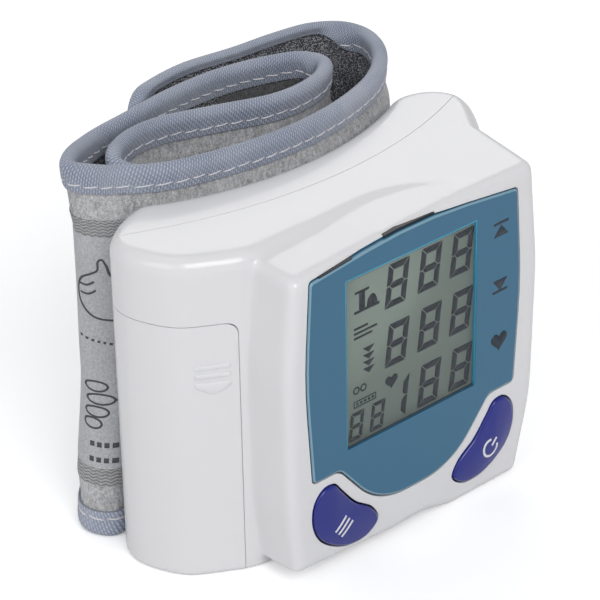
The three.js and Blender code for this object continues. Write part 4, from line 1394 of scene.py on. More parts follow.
@dataclass
class Shells:
    """Builds the three visible shells from one softened form."""

    housing: Housing
    cover: BatteryCover
    lens: "DisplayLens"
    keys: "PushKeys"
    tee_place: Pair = (6.0, 46.0)
    port_radius: float = 1.3
    peg_radius: float = 1.75
    peg_places: tuple[Pair, ...] = ((-15, 21), (-15, 49.5), (15, 21), (15, 49.5))
    boss_seat: float = 3.0
    port_room: float = 0.35
    bore_depth: float = 9.0
    opening: Quad = (-21.1, 21.6, 18.8, 60.5)
    slot: Pair = (-7.3, 4.9)
    slot_rise: float = 0.55
    # The dark strip that paints the shade in the gap above the lens: where it runs, how deep it lies and the
    # room it leaves
    gap_shade_run: Pair = (-23.2, -15.5)
    gap_shade_sunk: float = -0.06
    slot_gap_shade_sunk: float = 0.55
    gap_shade_room: float = 0.03
    strip_drop: float = 4.0

    def build(self) -> None:
        """Build, cut and dress the shells."""
        body = self.housing
        inner = join(*body.form(body.wall, body.face_wall))
        outer = body.softened()
        shell = cut(outer, inner)
        path = self.cover.tongue_path()
        self.finish("housing_front_shell", self.front(shell, outer, path), Body.MONITOR, "front_housing")
        self.lay_gap_shade()
        self.finish("housing_rear_shell", self.rear(shell, outer, path), Body.MONITOR, "rear_housing")
        marked = join(shell, *self.cover.mark())
        wall = meet(marked, self.cover.region(0), body.parting_side(False, -body.seam))
        self.finish("battery_cover_shell", join(wall, self.cover.tongues()), Body.COVER, "battery_cover")

    def front(self, shell: Mesh, outer: Mesh, path: Mesh) -> Mesh:
        """Cut the front housing with its bosses and the holes for lens, display, keys and screws.

        Args:
            shell: The hollow form of both housings.
            outer: The same form, filled.
            path: The room that the cover's tongues need.

        Returns:
            The front housing.
        """
        body, keys = self.housing, self.keys
        line = body.parting_line
        rods = body.screw_rods(body.boss_radius, lambda _x: body.face_wall - ROOT, line)
        form = join(shell, *(meet(outer, boss) for boss in rods))
        form = meet(form, body.parting_side(False, -body.seam / 2))
        behind = body.face_wall + ROOT
        slot = self.above_lens(*self.slot, self.slot_rise, -OVERRUN, self.lens.floor)
        opening = plate(rounded_outline(rectangle(*self.opening, self.lens.window_corner)), -OVERRUN, behind)
        wells = [
            plate(lambda d, side=side: keys.outline(side, d - keys.running), -OVERRUN, behind)
            for side in (-1, 1)
        ]
        radius = body.screw_radius + body.seat
        bores = body.screw_rods(radius, lambda x: line(x) - self.bore_depth, lambda x: line(x) + OVERRUN)
        cover = self.cover.region(self.cover.gap)
        return cut(form, self.lens.recess(), slot, opening, *wells, *bores, cover, path)

    def rear(self, shell: Mesh, outer: Mesh, path: Mesh) -> Mesh:
        """Cut the rear housing with its screw seats and the holes for the cuff's pegs and air nozzle.

        Args:
            shell: The hollow form of both housings.
            outer: The same form, filled.
            path: The room that the cover's tongues need.

        Returns:
            The rear housing.
        """
        body = self.housing
        line = body.parting_line
        back = body.depth + OVERRUN
        rods = body.screw_rods(body.screw_head + body.wall, line, lambda _x: back)
        form = join(shell, *(meet(outer, boss) for boss in rods))
        form = meet(form, body.parting_side(True, body.seam / 2))
        radius = body.screw_radius + body.seat
        through = body.screw_rods(radius, lambda x: line(x) - OVERRUN, lambda _x: back)
        radius = body.screw_head + body.seat
        heads = body.screw_rods(radius, lambda x: line(x) + self.boss_seat, lambda _x: back)
        pegs = [rod(self.peg_radius, body.parting_depth, back, place) for place in self.peg_places]
        outlet = rod(self.port_radius + self.port_room, body.parting_depth, body.depth, self.tee_place)
        return cut(form, *through, *heads, *pegs, outlet, path)

    def above_lens(self, left: float, right: float, grow: float, sunk: float, back: float) -> Mesh:
        """Make the strip that follows the lens's upper edge.

        Args:
            left: Where it starts across.
            right: Where it ends.
            grow: How far it reaches past the lens.
            sunk: Depth of its front.
            back: Depth of its back.

        Returns:
            The closed strip.
        """
        lens = self.lens
        around = plate(lambda d: lens.outline(d - grow), sunk, back)
        ring = cut(around, plate(lambda d: lens.outline(d - CLEAR), -OVERRUN, OVERRUN))
        low, high = lens.peak - self.strip_drop, lens.peak + OVERRUN
        return meet(ring, block(left, -OVERRUN, low, right, OVERRUN, high))

    def lay_gap_shade(self) -> None:
        """Lay the dark strip that paints the shade in the gap along the lens's upper left edge and in the
        slot.
        """
        room = self.lens.floor - CLEAR
        edge = self.above_lens(*self.gap_shade_run, self.lens.seat - self.gap_shade_room, self.gap_shade_sunk, room)
        slot = self.above_lens(*self.slot, self.slot_rise - self.gap_shade_room, self.slot_gap_shade_sunk, room)
        mesh = join(edge, slot)
        sharpen(mesh)
        # A dark piece laid where there is only the shade of the gap, not a seal
        piece("lens_gap_shade", mesh, PALETTE.dark)

    def finish(self, name: str, mesh: Mesh, body: Body, node: str) -> None:
        """Shade a shell and put it into the scene."""
        sharpen(mesh)
        piece(name, mesh, PALETTE.white, body, [node])


# Lens, display and keys


@dataclass
class DisplayLens:
    """The teal lens with its lighter bevelled edge and the clear window over the display."""

    height: float = 65.0
    half_width: float = 26.7
    thickness: float = 1.5
    proud: float = 0.25
    edge: float = 0.4
    seat: float = 0.3
    right_corners: tuple[Triple, ...] = (
        (0.951, 0.945, 0.015), (1, 0.646, 1.54), (0.948, 0.323, 0.015), (0.708, 0.323, 0.046),
        (0.348, 0.148, 0.277),
    )
    peak_corner: Triple = (0, 0.989, 1.85)
    window: Quad = (-17.4, 24.5, 15.1, 58.9)
    window_corner: float = 0.3
    frame_width: float = 0.3
    frame_sunk: float = 0.03
    frame_root: float = 0.2
    face_depth: float = 0.32
    face_room: float = 0.01
    pane_room: float = 0.05
    pane_edge: float = 0.1
    pane_sunk: float = 0.2
    pane_back: float = 0.22
    edge_angle: float = 25
    bevel_share: float = 1.1
    flat_share: float = 0.97

    @property
    def peak(self) -> float:
        """Height of the lens at its middle."""
        return max(z for _x, z in self.outline(0))

    @property
    def back(self) -> float:
        """Depth of the lens's back."""
        return self.thickness - self.proud

    @property
    def floor(self) -> float:
        """Depth of the recess that it sits in."""
        return self.back + self.seat

    def outline(self, distance: float) -> Outline:
        """Give the lens's outline, moved inwards.

        Args:
            distance: How far.

        Returns:
            Its points.
        """
        right = [(x * self.half_width, z * self.height, r * self.height) for x, z, r in self.right_corners]
        x, z, radius = self.peak_corner
        peak = (x, z * self.height, radius * self.height)
        return cornered([peak, *right, *mirrored(right)])(distance)

    def recess(self) -> Mesh:
        """Make the space that the lens sits in."""
        return plate(lambda d: self.outline(d - self.seat), -OVERRUN, self.floor)

    def build(self) -> None:
        """Build the lens, its window and what lies round and behind the window."""
        hole = plate(rounded_outline(rectangle(*self.window, self.window_corner)), -OVERRUN, OVERRUN)
        mesh = cut(plate(self.outline, -self.proud, self.back, self.edge), hole)
        sharpen(mesh, self.edge_angle)
        panel = piece("lens_panel", mesh, PALETTE.teal, replaces=["display_lens"])
        self.paint_edge(mesh)
        level(panel)
        self.window_frame()
        pane = cornered(self.within(self.pane_room, self.window_corner))
        mesh = plate(pane, -self.proud + self.pane_sunk, self.pane_back, self.pane_edge)
        level(piece("window_pane", mesh, PALETTE.pane))

    def paint_edge(self, mesh: Mesh) -> None:
        """Give the bevel round the lens's face its lighter finish.

        Args:
            mesh: The lens.
        """
        mesh.materials.append(PALETTE[PALETTE.teal_edge])
        front = (-self.proud - FACE_STAND + self.edge * self.bevel_share) * MM
        for face in mesh.polygons:
            if face.center.y < front and abs(face.normal.y) < self.flat_share:
                face.material_index = 1

    def within(self, room: float, radius: float) -> list[Triple]:
        """List the corners of a rectangle that lies inside the window with some room round it."""
        left, low, right, high = self.window
        return rectangle(left + room, low + room, right - room, high - room, radius)

    def window_frame(self) -> None:
        """Lay the thin lighter cyan line round three sides of the window, a painted highlight for the light
        refracted at its edge, and the dark one along its foot.
        """
        left, low, right, high = self.window
        wide = self.frame_width
        end = self.back + self.frame_root
        outer = [(left, low), (left, high), (right, high), (right, low)]
        start, far, top = left + wide, right - wide, high - wide
        inner = [(far, low), (far, top), (start, top), (start, low)]
        mesh = plate([*outer, *inner], -self.proud + self.frame_sunk, end)
        # Painted highlight: this line stands in for light refracted at the window's edge
        piece("window_refraction_line", mesh, PALETTE.window_refraction)
        foot = cornered(rectangle(left + wide, low + CLEAR, right - wide, low + wide, self.pane_room))
        piece("window_foot", plate(foot, self.pane_back, end), PALETTE.mark)
        face = cornered(self.within(wide + self.face_room, self.pane_room))
        piece("display_face", plate(face, self.face_depth, end), PALETTE.film)


@dataclass
class LiquidDisplay:
    """What the display shows: generic seven-segment figures and small signs, as thin shapes on its face."""

    depth: float = 0.34
    film: float = 0.05
    digit_width: float = 5.1
    digit_height: float = 8.6
    stroke: float = 1.3
    gap: float = 0.12
    slant: float = 0.13
    columns: tuple[float, ...] = (-7.5, 0.6, 8.6)
    rows: tuple[float, ...] = (49.1, 37.05, 25.3)
    small_size: Pair = (3.3, 5.7)
    small_columns: tuple[float, ...] = (-16.5, -11.3)
    small_row: float = 25.4
    small_stroke: float = 0.8
    heart: Triple = (-5.8, 33.95, 3.1)
    arrow: tuple[Pair, ...] = ((-12.8, 1.25), (-10.0, 1.25), (-11.3, 0))
    arrow_rows: tuple[float, float, int] = (38.0, 1.4, 4)
    cuff_bars: tuple[Quad, ...] = (
        (-14.8, 51.0, -8.7, 51.55), (-13.6, 51.5, -12.2, 55.0), (-14.6, 54.9, -11.2, 55.4),
    )
    arch: Quad = (-10.5, 51.5, 1.3, 2.2)
    level_bar: Quad = (-14.9, 45.9, 0.45, 0.95)
    level_lengths: Triple = (4.4, 5.6, 3.4)
    ring_places: tuple[Pair, ...] = ((-14.4, 35.5), (-12.7, 35.5))
    ring_radii: Pair = (0.8, 0.48)
    unit_box: Quad = (-15.1, 31.95, -9.6, 33.35)
    unit_line: float = 0.22
    unit_bars: Triple = (-14.5, -10.3, 0.95)
    unit_bar: Quad = (0, 32.4, 0.55, 32.9)

    def segment_shapes(self, width: float, height: float, stroke: float) -> list[list[Pair]]:
        """List the seven segments of one figure: top, middle, foot, left pair, right pair.

        Args:
            width: The figure's width.
            height: Its height.
            stroke: How wide a segment is.

        Returns:
            The segments' outlines.
        """
        t, g, half = stroke, self.gap, height / 2
        above, below = half + t / 2, half - t / 2
        left, right = t + g, width - t - g
        top = [(g, height), (width - g, height), (right, height - t), (left, height - t)]
        middle = [(t / 2 + g, half), (left, above), (right, above)]
        middle += [(width - t / 2 - g, half), (right, below), (left, below)]
        foot = [(x, height - z) for x, z in top]
        upper = [(0, half + g), (0, height - g), (t, height - t - g), (t, above + g), (t / 2, half + g)]
        lower = [(x, height - z) for x, z in upper]
        others = [[(width - x, z) for x, z in side] for side in (upper, lower)]
        return [top, middle, foot, upper, lower, *others]

    def figure(
        self, x: float, z: float, size: Pair, stroke: float, lit: Iterable[int] = range(7)
    ) -> list[Mesh]:
        """Make one figure of seven segments, slanted to the right, of which some are lit."""
        shapes = self.segment_shapes(*size, stroke)
        return [self.thin([(x + u + v * self.slant, z + v) for u, v in shapes[k]]) for k in lit]

    def thin(self, outline: Outline) -> Mesh:
        """Make a thin shape on the display's face."""
        return plate(outline, self.depth - self.film, self.depth)

    def figures(self) -> list[Mesh]:
        """Make the three rows of large figures and the two small ones.

        Returns:
            Their segments.
        """
        size = (self.digit_width, self.digit_height)
        made = []
        for row in self.rows[:2]:
            for column in self.columns:
                made += self.figure(column, row, size, self.stroke)
        one, *others = self.columns
        made += self.figure(one, self.rows[2], size, self.stroke, (5, 6))
        for column in others:
            made += self.figure(column, self.rows[2], size, self.stroke)
        for column in self.small_columns:
            made += self.figure(column, self.small_row, self.small_size, self.small_stroke)
        return made

    def signs(self) -> list[Mesh]:
        """Make the heart, the four arrows, the cuff sign, three level bars, a ring sign and a small box.

        Returns:
            Their thin meshes.
        """
        x, z, width = self.heart
        made = [self.thin(heart_shape((x, z), width))]
        low, pitch, count = self.arrow_rows
        made += [self.thin([(x, low + k * pitch + z) for x, z in self.arrow]) for k in range(count)]
        made += [self.bar(*edges) for edges in self.cuff_bars]
        x, z, across, up = self.arch
        turns = np.linspace(0, math.pi, 16)
        made.append(self.thin([(x + across * math.cos(a), z + up * math.sin(a)) for a in turns]))
        left, low, thick, pitch = self.level_bar
        for k, length in enumerate(self.level_lengths):
            made.append(self.bar(left, low + k * pitch, length + left, low + thick + k * pitch))
        made += [self.ring(centre, *self.ring_radii) for centre in self.ring_places]
        made.append(self.framed(*self.unit_box, self.unit_line))
        start, low, end, high = self.unit_bar
        made += [self.bar(x + start, low, x + end, high) for x in np.arange(*self.unit_bars)]
        return made

    def bar(self, left: float, low: float, right: float, high: float) -> Mesh:
        """Make a thin bar."""
        return self.thin([(left, low), (right, low), (right, high), (left, high)])

    def ring(self, centre: Pair, outer: float, inner: float) -> Mesh:
        """Make a thin ring."""
        return self.hollow("ring", lambda line: circle(outer - line, centre, 20), outer - inner)

    def framed(self, left: float, low: float, right: float, high: float, line: float) -> Mesh:
        """Make a thin box of lines.

        Args:
            left: Its left side.
            low: Its foot.
            right: Its right side.
            high: Its top.
            line: How wide the line is.

        Returns:
            The closed mesh.
        """
        return self.hollow(
            "box", lambda d: [c[:2] for c in rectangle(left + d, low + d, right - d, high - d, 0)], line
        )

    def hollow(self, name: str, outline: Shape, line: float) -> Mesh:
        """Make a thin closed line of one width.

        Args:
            name: The mesh's name.
            outline: Gives the outline, moved inwards by a distance.
            line: How wide the line is.

        Returns:
            The closed mesh.
        """
        front, back = self.depth - self.film, self.depth
        levels = ((0, back), (0, front), (line, front), (line, back))
        rings = [[backwards(x, z, depth) for x, z in outline(distance)] for distance, depth in levels]
        return skin(name, rings, False, True)

    def build(self) -> None:
        """Build the figures and the signs."""
        piece("display_figures", merge("figures", self.figures()), PALETTE.segment)
        piece("display_signs", merge("signs", self.signs()), PALETTE.segment)


def heart_shape(centre: Pair, width: float) -> list[Pair]:
    """List the outline of a heart round its centre.

    Args:
        centre: Its centre.
        width: Its width.

    Returns:
        Its points.
    """
    turns = np.linspace(0, math.tau, 49)[:-1]
    x = 16 * np.sin(turns) ** 3
    z = 13 * np.cos(turns) - 5 * np.cos(2 * turns) - 2 * np.cos(3 * turns) - np.cos(4 * turns)
    return [(centre[0] + a * width / 32, centre[1] + b * width / 32) for a, b in zip(x, z)]


@dataclass
class PanelMarks:
    """The dark signs printed on the right of the lens: a raised arrow, a lowered arrow and a heart."""

    depth: float = -0.25
    ink: float = 0.03
    centre_x: float = 21.2
    arrow_size: Pair = (3.8, 2.3)
    arrow_round: float = 0.12
    arrow_rows: Pair = (53.4, 42.1)
    bar: float = 0.5
    bar_gap: float = 0.15
    heart_row: float = 31.5
    heart_width: float = 4.2

    def printed(self, outline: Outline) -> Mesh:
        """Make a printed shape on the lens."""
        return plate(outline, self.depth - self.ink, self.depth + self.ink)

    def arrow(self, low: float, up: bool) -> list[Mesh]:
        """Make an arrowhead with a bar at its tip.

        Args:
            low: Its lowest place.
            up: Whether it points up.

        Returns:
            The head and the bar.
        """
        width, tall = self.arrow_size
        left, right = self.centre_x - width / 2, self.centre_x + width / 2
        base, tip = (low, low + tall) if up else (low + tall, low)
        foot = (tip if up else tip - self.bar) + self.bar_gap
        head = [(x, z, self.arrow_round) for x, z in ((left, base), (right, base), (self.centre_x, tip))]
        line = [(left, foot), (right, foot), (right, foot + self.bar), (left, foot + self.bar)]
        return [self.printed(rounded_outline(head)), self.printed(line)]

    def build(self) -> None:
        """Print the three signs."""
        upper, lower = self.arrow_rows
        heart = self.printed(heart_shape((self.centre_x, self.heart_row), self.heart_width))
        shapes = [*self.arrow(upper, True), *self.arrow(lower, False), heart]
        piece("panel_marks", merge("marks", shapes), PALETTE.mark)


@dataclass
class PushKeys:
    """The two blue keys below the lens, domed, each with a white sign."""

    offset: float = 17.6
    centre_z: float = 11.3
    width: float = 15.7
    height: float = 14.6
    crown: float = 1.0
    rim: float = 0.55
    dome: float = 0.5
    running: float = 0.35
    skirt: float = 4.0
    heart: Pair = (-0.15, -0.06)
    shares: tuple[Pair, ...] = (
        (-0.178, 0.493), (-0.331, 0.5), (-0.465, 0.356), (-0.497, 0.082), (-0.401, -0.185), (-0.191, -0.377),
        (0.070, -0.486), (0.331, -0.473), (0.497, -0.322), (0.408, -0.130), (0.146, 0.082), (-0.064, 0.349),
    )
    steps: int = 128
    rim_steps: int = 6
    dome_steps: int = 17
    sign_lift: float = 0.02
    sign_shift: Pair = (1.2, -1.9)
    sign_lean: float = 42
    sign_line: float = 0.5
    ring_radius: float = 1.75
    ring_gap: float = 0.62
    sign_steps: tuple[int, int, int] = (14, 40, 12)
    stroke_run: Pair = (0.5, 2.35)
    bar_half: float = 1.8
    bar_pitch: float = 1.15

    def outline(self, side: int, distance: float) -> list[Pair]:
        """Give a key's outline on one side, moved inwards."""
        points = curve_through([(x * self.width, z * self.height) for x, z in self.shares], self.steps, True)
        return [(side * (self.offset - x), z + self.centre_z) for x, z in inset(points, distance)]

    def middle(self, side: int) -> Pair:
        """Give the point that the dome's rings close in on."""
        x, z = self.heart
        return (side * (self.offset - x * self.width), self.centre_z + z * self.height)

    def rings(self, side: int) -> list[list[Triple]]:
        """List the rings of a key from its skirt up to the middle of its dome.

        Args:
            side: -1 for the memory key, 1 for the power key.

        Returns:
            The rings.
        """
        rings = [[backwards(x, z, self.skirt) for x, z in self.outline(side, 0)]]
        rim_top = self.dome - self.crown
        for k in range(self.rim_steps + 1):
            angle = k / self.rim_steps * math.pi / 2
            depth = rim_top + self.rim * (1 - math.sin(angle))
            outline = self.outline(side, self.rim * (1 - math.cos(angle)))
            rings.append([backwards(x, z, depth) for x, z in outline])
        start = np.array(self.outline(side, self.rim))
        middle = np.array(self.middle(side))
        for k in range(1, self.dome_steps):
            share = 1 - k / self.dome_steps
            depth = rim_top - self.dome * (1 - share**2)
            rings.append([backwards(x, z, depth) for x, z in middle + (start - middle) * share])
        return rings

    def build_key(self, side: int, name: str, body: Body, node: str) -> None:
        """Build one key and its sign.

        Args:
            side: -1 for the memory key, 1 for the power key.
            name: The piece's name.
            body: What it rides on.
            node: The CAD node it stands for.
        """
        mesh = skin(name, self.rings(side))
        sharpen(mesh, 60)
        faces = [face.vertices[:] for face in mesh.polygons]
        tree = BVHTree.FromPolygons([point.co[:] for point in mesh.vertices], faces)
        piece(name, mesh, PALETTE.blue, body, [node])
        strips = [self.ribbon(self.on_key(side, line)) for line in self.sign_lines(side)]
        sign = merge("sign", [self.laid(tree, strip) for strip in strips])
        piece(f"{name}_sign", sign, PALETTE.white_ink, body)

    def laid(self, tree: BVHTree, strip: Strip) -> Mesh:
        """Lay a strip of points on a key's dome, a little proud of it.

        Args:
            tree: The key's faces.
            strip: The rows of points.

        Returns:
            The closed mesh.
        """
        rings = []
        for row in strip:
            tops, feet = [], []
            for x, z in row:
                hit = tree.ray_cast(Vector(to_frame(x, -OVERRUN, z)), Vector((0, 1, 0)))[0]
                tops.append((hit.x, hit.y - self.sign_lift * MM, hit.z))
                feet.append((hit.x, hit.y + self.sign_lift * MM, hit.z))
            rings.append([*tops, *feet[::-1]])
        return skin("print", rings)

    def ribbon(self, path: Sequence[Pair]) -> Strip:
        """Turn a path into rows across a line of the signs' width.

        Args:
            path: Its points.

        Returns:
            The rows.
        """
        points = [Vector(p) for p in path]
        rows = []
        for i, point in enumerate(points):
            heading = (points[min(i + 1, len(points) - 1)] - points[max(i - 1, 0)]).normalized()
            side = Vector((-heading.y, heading.x)) * self.sign_line / 2
            rows.append([tuple(point - side), tuple(point + side)])
        return rows

    def on_key(self, side: int, points: Iterable[Pair]) -> list[Pair]:
        """Turn a sign's points as the key lies and shift them onto the key.

        Args:
            side: -1 for the memory key, 1 for the power key.
            points: The sign's points.

        Returns:
            The points on the key.
        """
        turn = Matrix.Rotation(math.radians(-self.sign_lean * side), 2)
        across, up = self.sign_shift
        centre_x, centre_z = side * (self.offset + across), self.centre_z + up
        turned = [turn @ Vector(point) for point in points]
        return [(centre_x + p.x, centre_z + p.y) for p in turned]

    def sign_lines(self, side: int) -> list[list[Pair]]:
        """Draw the power sign, an open ring with a stroke, or the memory sign, three short lines.

        Args:
            side: -1 for the memory key, 1 for the power key.

        Returns:
            The sign's lines.
        """
        bar, turn, stroke = self.sign_steps
        if side < 0:
            across = np.linspace(-self.bar_half, self.bar_half, bar)
            return [[(x, k * self.bar_pitch) for x in across] for k in (-1, 0, 1)]
        radius = self.ring_radius
        turns = np.linspace(self.ring_gap, math.tau - self.ring_gap, turn)
        ring = [(radius * math.sin(a), radius * math.cos(a)) for a in turns]
        return [ring, [(0, z) for z in np.linspace(*self.stroke_run, stroke)]]

    def build(self) -> None:
        """Build both keys."""
        self.build_key(-1, "memory_key_cap", Body.MEMORY_KEY, "memory_button")
        self.build_key(1, "power_key_cap", Body.POWER_KEY, "power_button")


# Cuff


def smooth_step(value: np.ndarray, low: float, high: float) -> np.ndarray:
    """Rise smoothly from 0 at low to 1 at high."""
    share = np.clip((np.asarray(value, float) - low) / (high - low), 0, 1)
    return share * share * (3 - 2 * share)


def hump(value: np.ndarray, start: float, full: float, fade: float, end: float) -> np.ndarray:
    """Rise smoothly from 0 at start to 1 at full, and fall from fade to 0 at end."""
    return smooth_step(value, start, full) * (1 - smooth_step(value, fade, end))


@dataclass
class Band:
    """The cuff's middle line, from its outer end round to its tucked tail, and its thickness."""

    height: float = 70.5
    half_span: float = 40.3
    near_depth: float = 33.5
    far_depth: float = 67.6
    lean_across: float = 9.2
    lean_forward: float = 10.0
    core: float = 1.5
    puff: float = 1.2
    thick_puff: float = 2.6
    tape: float = 5.0
    tape_step: float = 0.2
    shoulder: float = 6.0
    shoulder_share: float = 0.9
    tail_drop: float = 3.2
    thick: Pair = (2, 15)
    tail: Pair = (32, 36)
    waist: float = 2.4
    waist_marks: Quad = (13.6, 15.6, 18.6, 20.4)
    waist_heights: Quad = (4, 30, 56, 68)
    steps: int = 1500
    reach: float = 0.05
    shares: tuple[Pair, ...] = (
        (-0.295, 0.877), (-0.149, 0.947), (0.112, 1), (0.409, 0.962), (0.658, 0.947), (0.859, 0.903),
        (0.973, 0.795), (1, 0.654), (0.953, 0.484), (0.829, 0.305), (0.645, 0.158), (0.347, 0.041),
        (0.012, 0), (-0.323, 0.041), (-0.608, 0.135), (-0.759, 0.255), (-0.859, 0.39), (-0.903, 0.501),
        (-0.834, 0.601), (-0.65, 0.686), (-0.392, 0.742), (-0.114, 0.798), (0.189, 0.806), (0.462, 0.736),
        (0.605, 0.648), (0.635, 0.519), (0.536, 0.408), (0.372, 0.349), (0.189, 0.355), (-0.089, 0.472),
        (-0.352, 0.572), (-0.511, 0.566), (-0.66, 0.484), (-0.717, 0.393), (-0.675, 0.314),
        (-0.496, 0.232), (-0.248, 0.155), (0.05, 0.12),
    )
    lean_start: int = 15
    leans: tuple[Pair, ...] = ((0.1, 0.14), (0.74, 1), (0.82, 1), (0.93, 0.92), (0.17, 0.12))

    def __post_init__(self) -> None:
        """Measure the middle line once."""
        self.last = len(self.shares) - 1
        self.marks = np.linspace(0, self.last, self.steps)
        line = self.place(self.marks, 0, self.height / 2)
        steps = np.linalg.norm(np.diff(line, axis=0), axis=1)
        self.lengths = np.concatenate([[0], np.cumsum(steps)])

    @property
    def length(self) -> float:
        """Length of the middle line at half height."""
        return float(self.lengths[-1])

    def length_at(self, mark: np.ndarray) -> np.ndarray:
        """Tell how far along the band a mark lies."""
        return np.interp(mark, self.marks, self.lengths)

    def mark_at(self, length: np.ndarray) -> np.ndarray:
        """Tell which mark lies at a distance along the band."""
        return np.interp(length, self.lengths, self.marks)

    def line(self, lean: float, marks: np.ndarray) -> np.ndarray:
        """Walk the middle line at one rim: upright at the top, leaning at the foot.

        Args:
            lean: 0 for the upper rim, 1 for the lower one.
            marks: Where along the band.

        Returns:
            Rows of [x, depth].
        """
        points = []
        for i, (x, depth) in enumerate(self.shares):
            k = i - self.lean_start
            across, forward = self.leans[k] if 0 <= k < len(self.leans) else (0, 0)
            back = self.near_depth + depth * (self.far_depth - self.near_depth)
            moved_x = x * self.half_span - lean * across * self.lean_across
            points.append((moved_x, back - lean * forward * self.lean_forward))
        return curve_points(points, np.clip(marks / self.last, 0, 1))

    def place(self, marks: np.ndarray, out: np.ndarray, z: np.ndarray) -> np.ndarray:
        """Find points that stand out from the middle line.

        Args:
            marks: Where along the band, counted in its chosen points.
            out: How far out from the middle line.
            z: The height.

        Returns:
            Rows of [x, depth, z].
        """
        marks, out, z = (np.asarray(given, float) for given in np.broadcast_arrays(marks, out, z))
        fall = (1 - z / self.height)[..., None]
        here, before, after = (
            self.leaning(place, fall) for place in (marks, marks - self.reach, marks + self.reach)
        )
        heading = after - before
        heading /= np.linalg.norm(heading, axis=-1)[..., None]
        drawn_in = hump(marks, *self.waist_marks) * hump(z, *self.waist_heights)
        x = here[..., 0] - heading[..., 1] * out + self.waist * drawn_in
        depth = here[..., 1] + heading[..., 0] * out
        return np.stack([x, depth, z], axis=-1)

    def leaning(self, marks: np.ndarray, fall: np.ndarray) -> np.ndarray:
        """Walk the middle line between its upper rim and its lower one, by a share of the way down."""
        upper, lower = (self.line(lean, marks.ravel()).reshape(*marks.shape, 2) for lean in (0, 1))
        return upper * (1 - fall) + lower * fall

    def tail_share(self, marks: np.ndarray) -> np.ndarray:
        """Tell how far a mark lies in the tucked tail."""
        return smooth_step(marks, *self.tail)

    def drop(self, marks: np.ndarray) -> np.ndarray:
        """Tell how far the rims come in at a mark."""
        return self.tail_drop * self.tail_share(marks)

    def fullness(self, z: np.ndarray) -> np.ndarray:
        """Tell how full the band is at a height: flat under the tapes and round between them.

        Args:
            z: The height.

        Returns:
            A share from 0 to 1.
        """
        near_rim = np.minimum(z, self.height - z)
        shoulder = self.tape + self.shoulder
        rise = smooth_step(near_rim, self.tape + self.tape_step, shoulder)
        share = self.shoulder_share
        return rise * (share + (1 - share) * smooth_step(near_rim, shoulder, self.height / 2))

    def half_width(self, marks: np.ndarray, z: np.ndarray) -> np.ndarray:
        """Tell how far the cloth's face stands out from the middle line.

        Args:
            marks: Where along the band.
            z: The height.

        Returns:
            The distance.
        """
        start, end = self.thick
        thick = hump(marks, start - 1, start, end - 1, end)
        puff = (self.puff + (self.thick_puff - self.puff) * thick) * (1 - self.tail_share(marks))
        return (self.core + puff * self.fullness(z)) / 2


def add_flat_map(mesh: Mesh, places: Sequence[Pair]) -> None:
    """Store where each point lies on the cloth laid flat, in metres, as a map for the weaves.

    Args:
        mesh: The cloth.
        places: How far along and how far up each point lies.
    """
    layer = mesh.uv_layers.new(name="Flat")
    corners = np.zeros(len(mesh.loops), int)
    mesh.loops.foreach_get("vertex_index", corners)
    flat = np.array(places, float) * MM
    layer.data.foreach_set("uv", flat[corners].ravel())


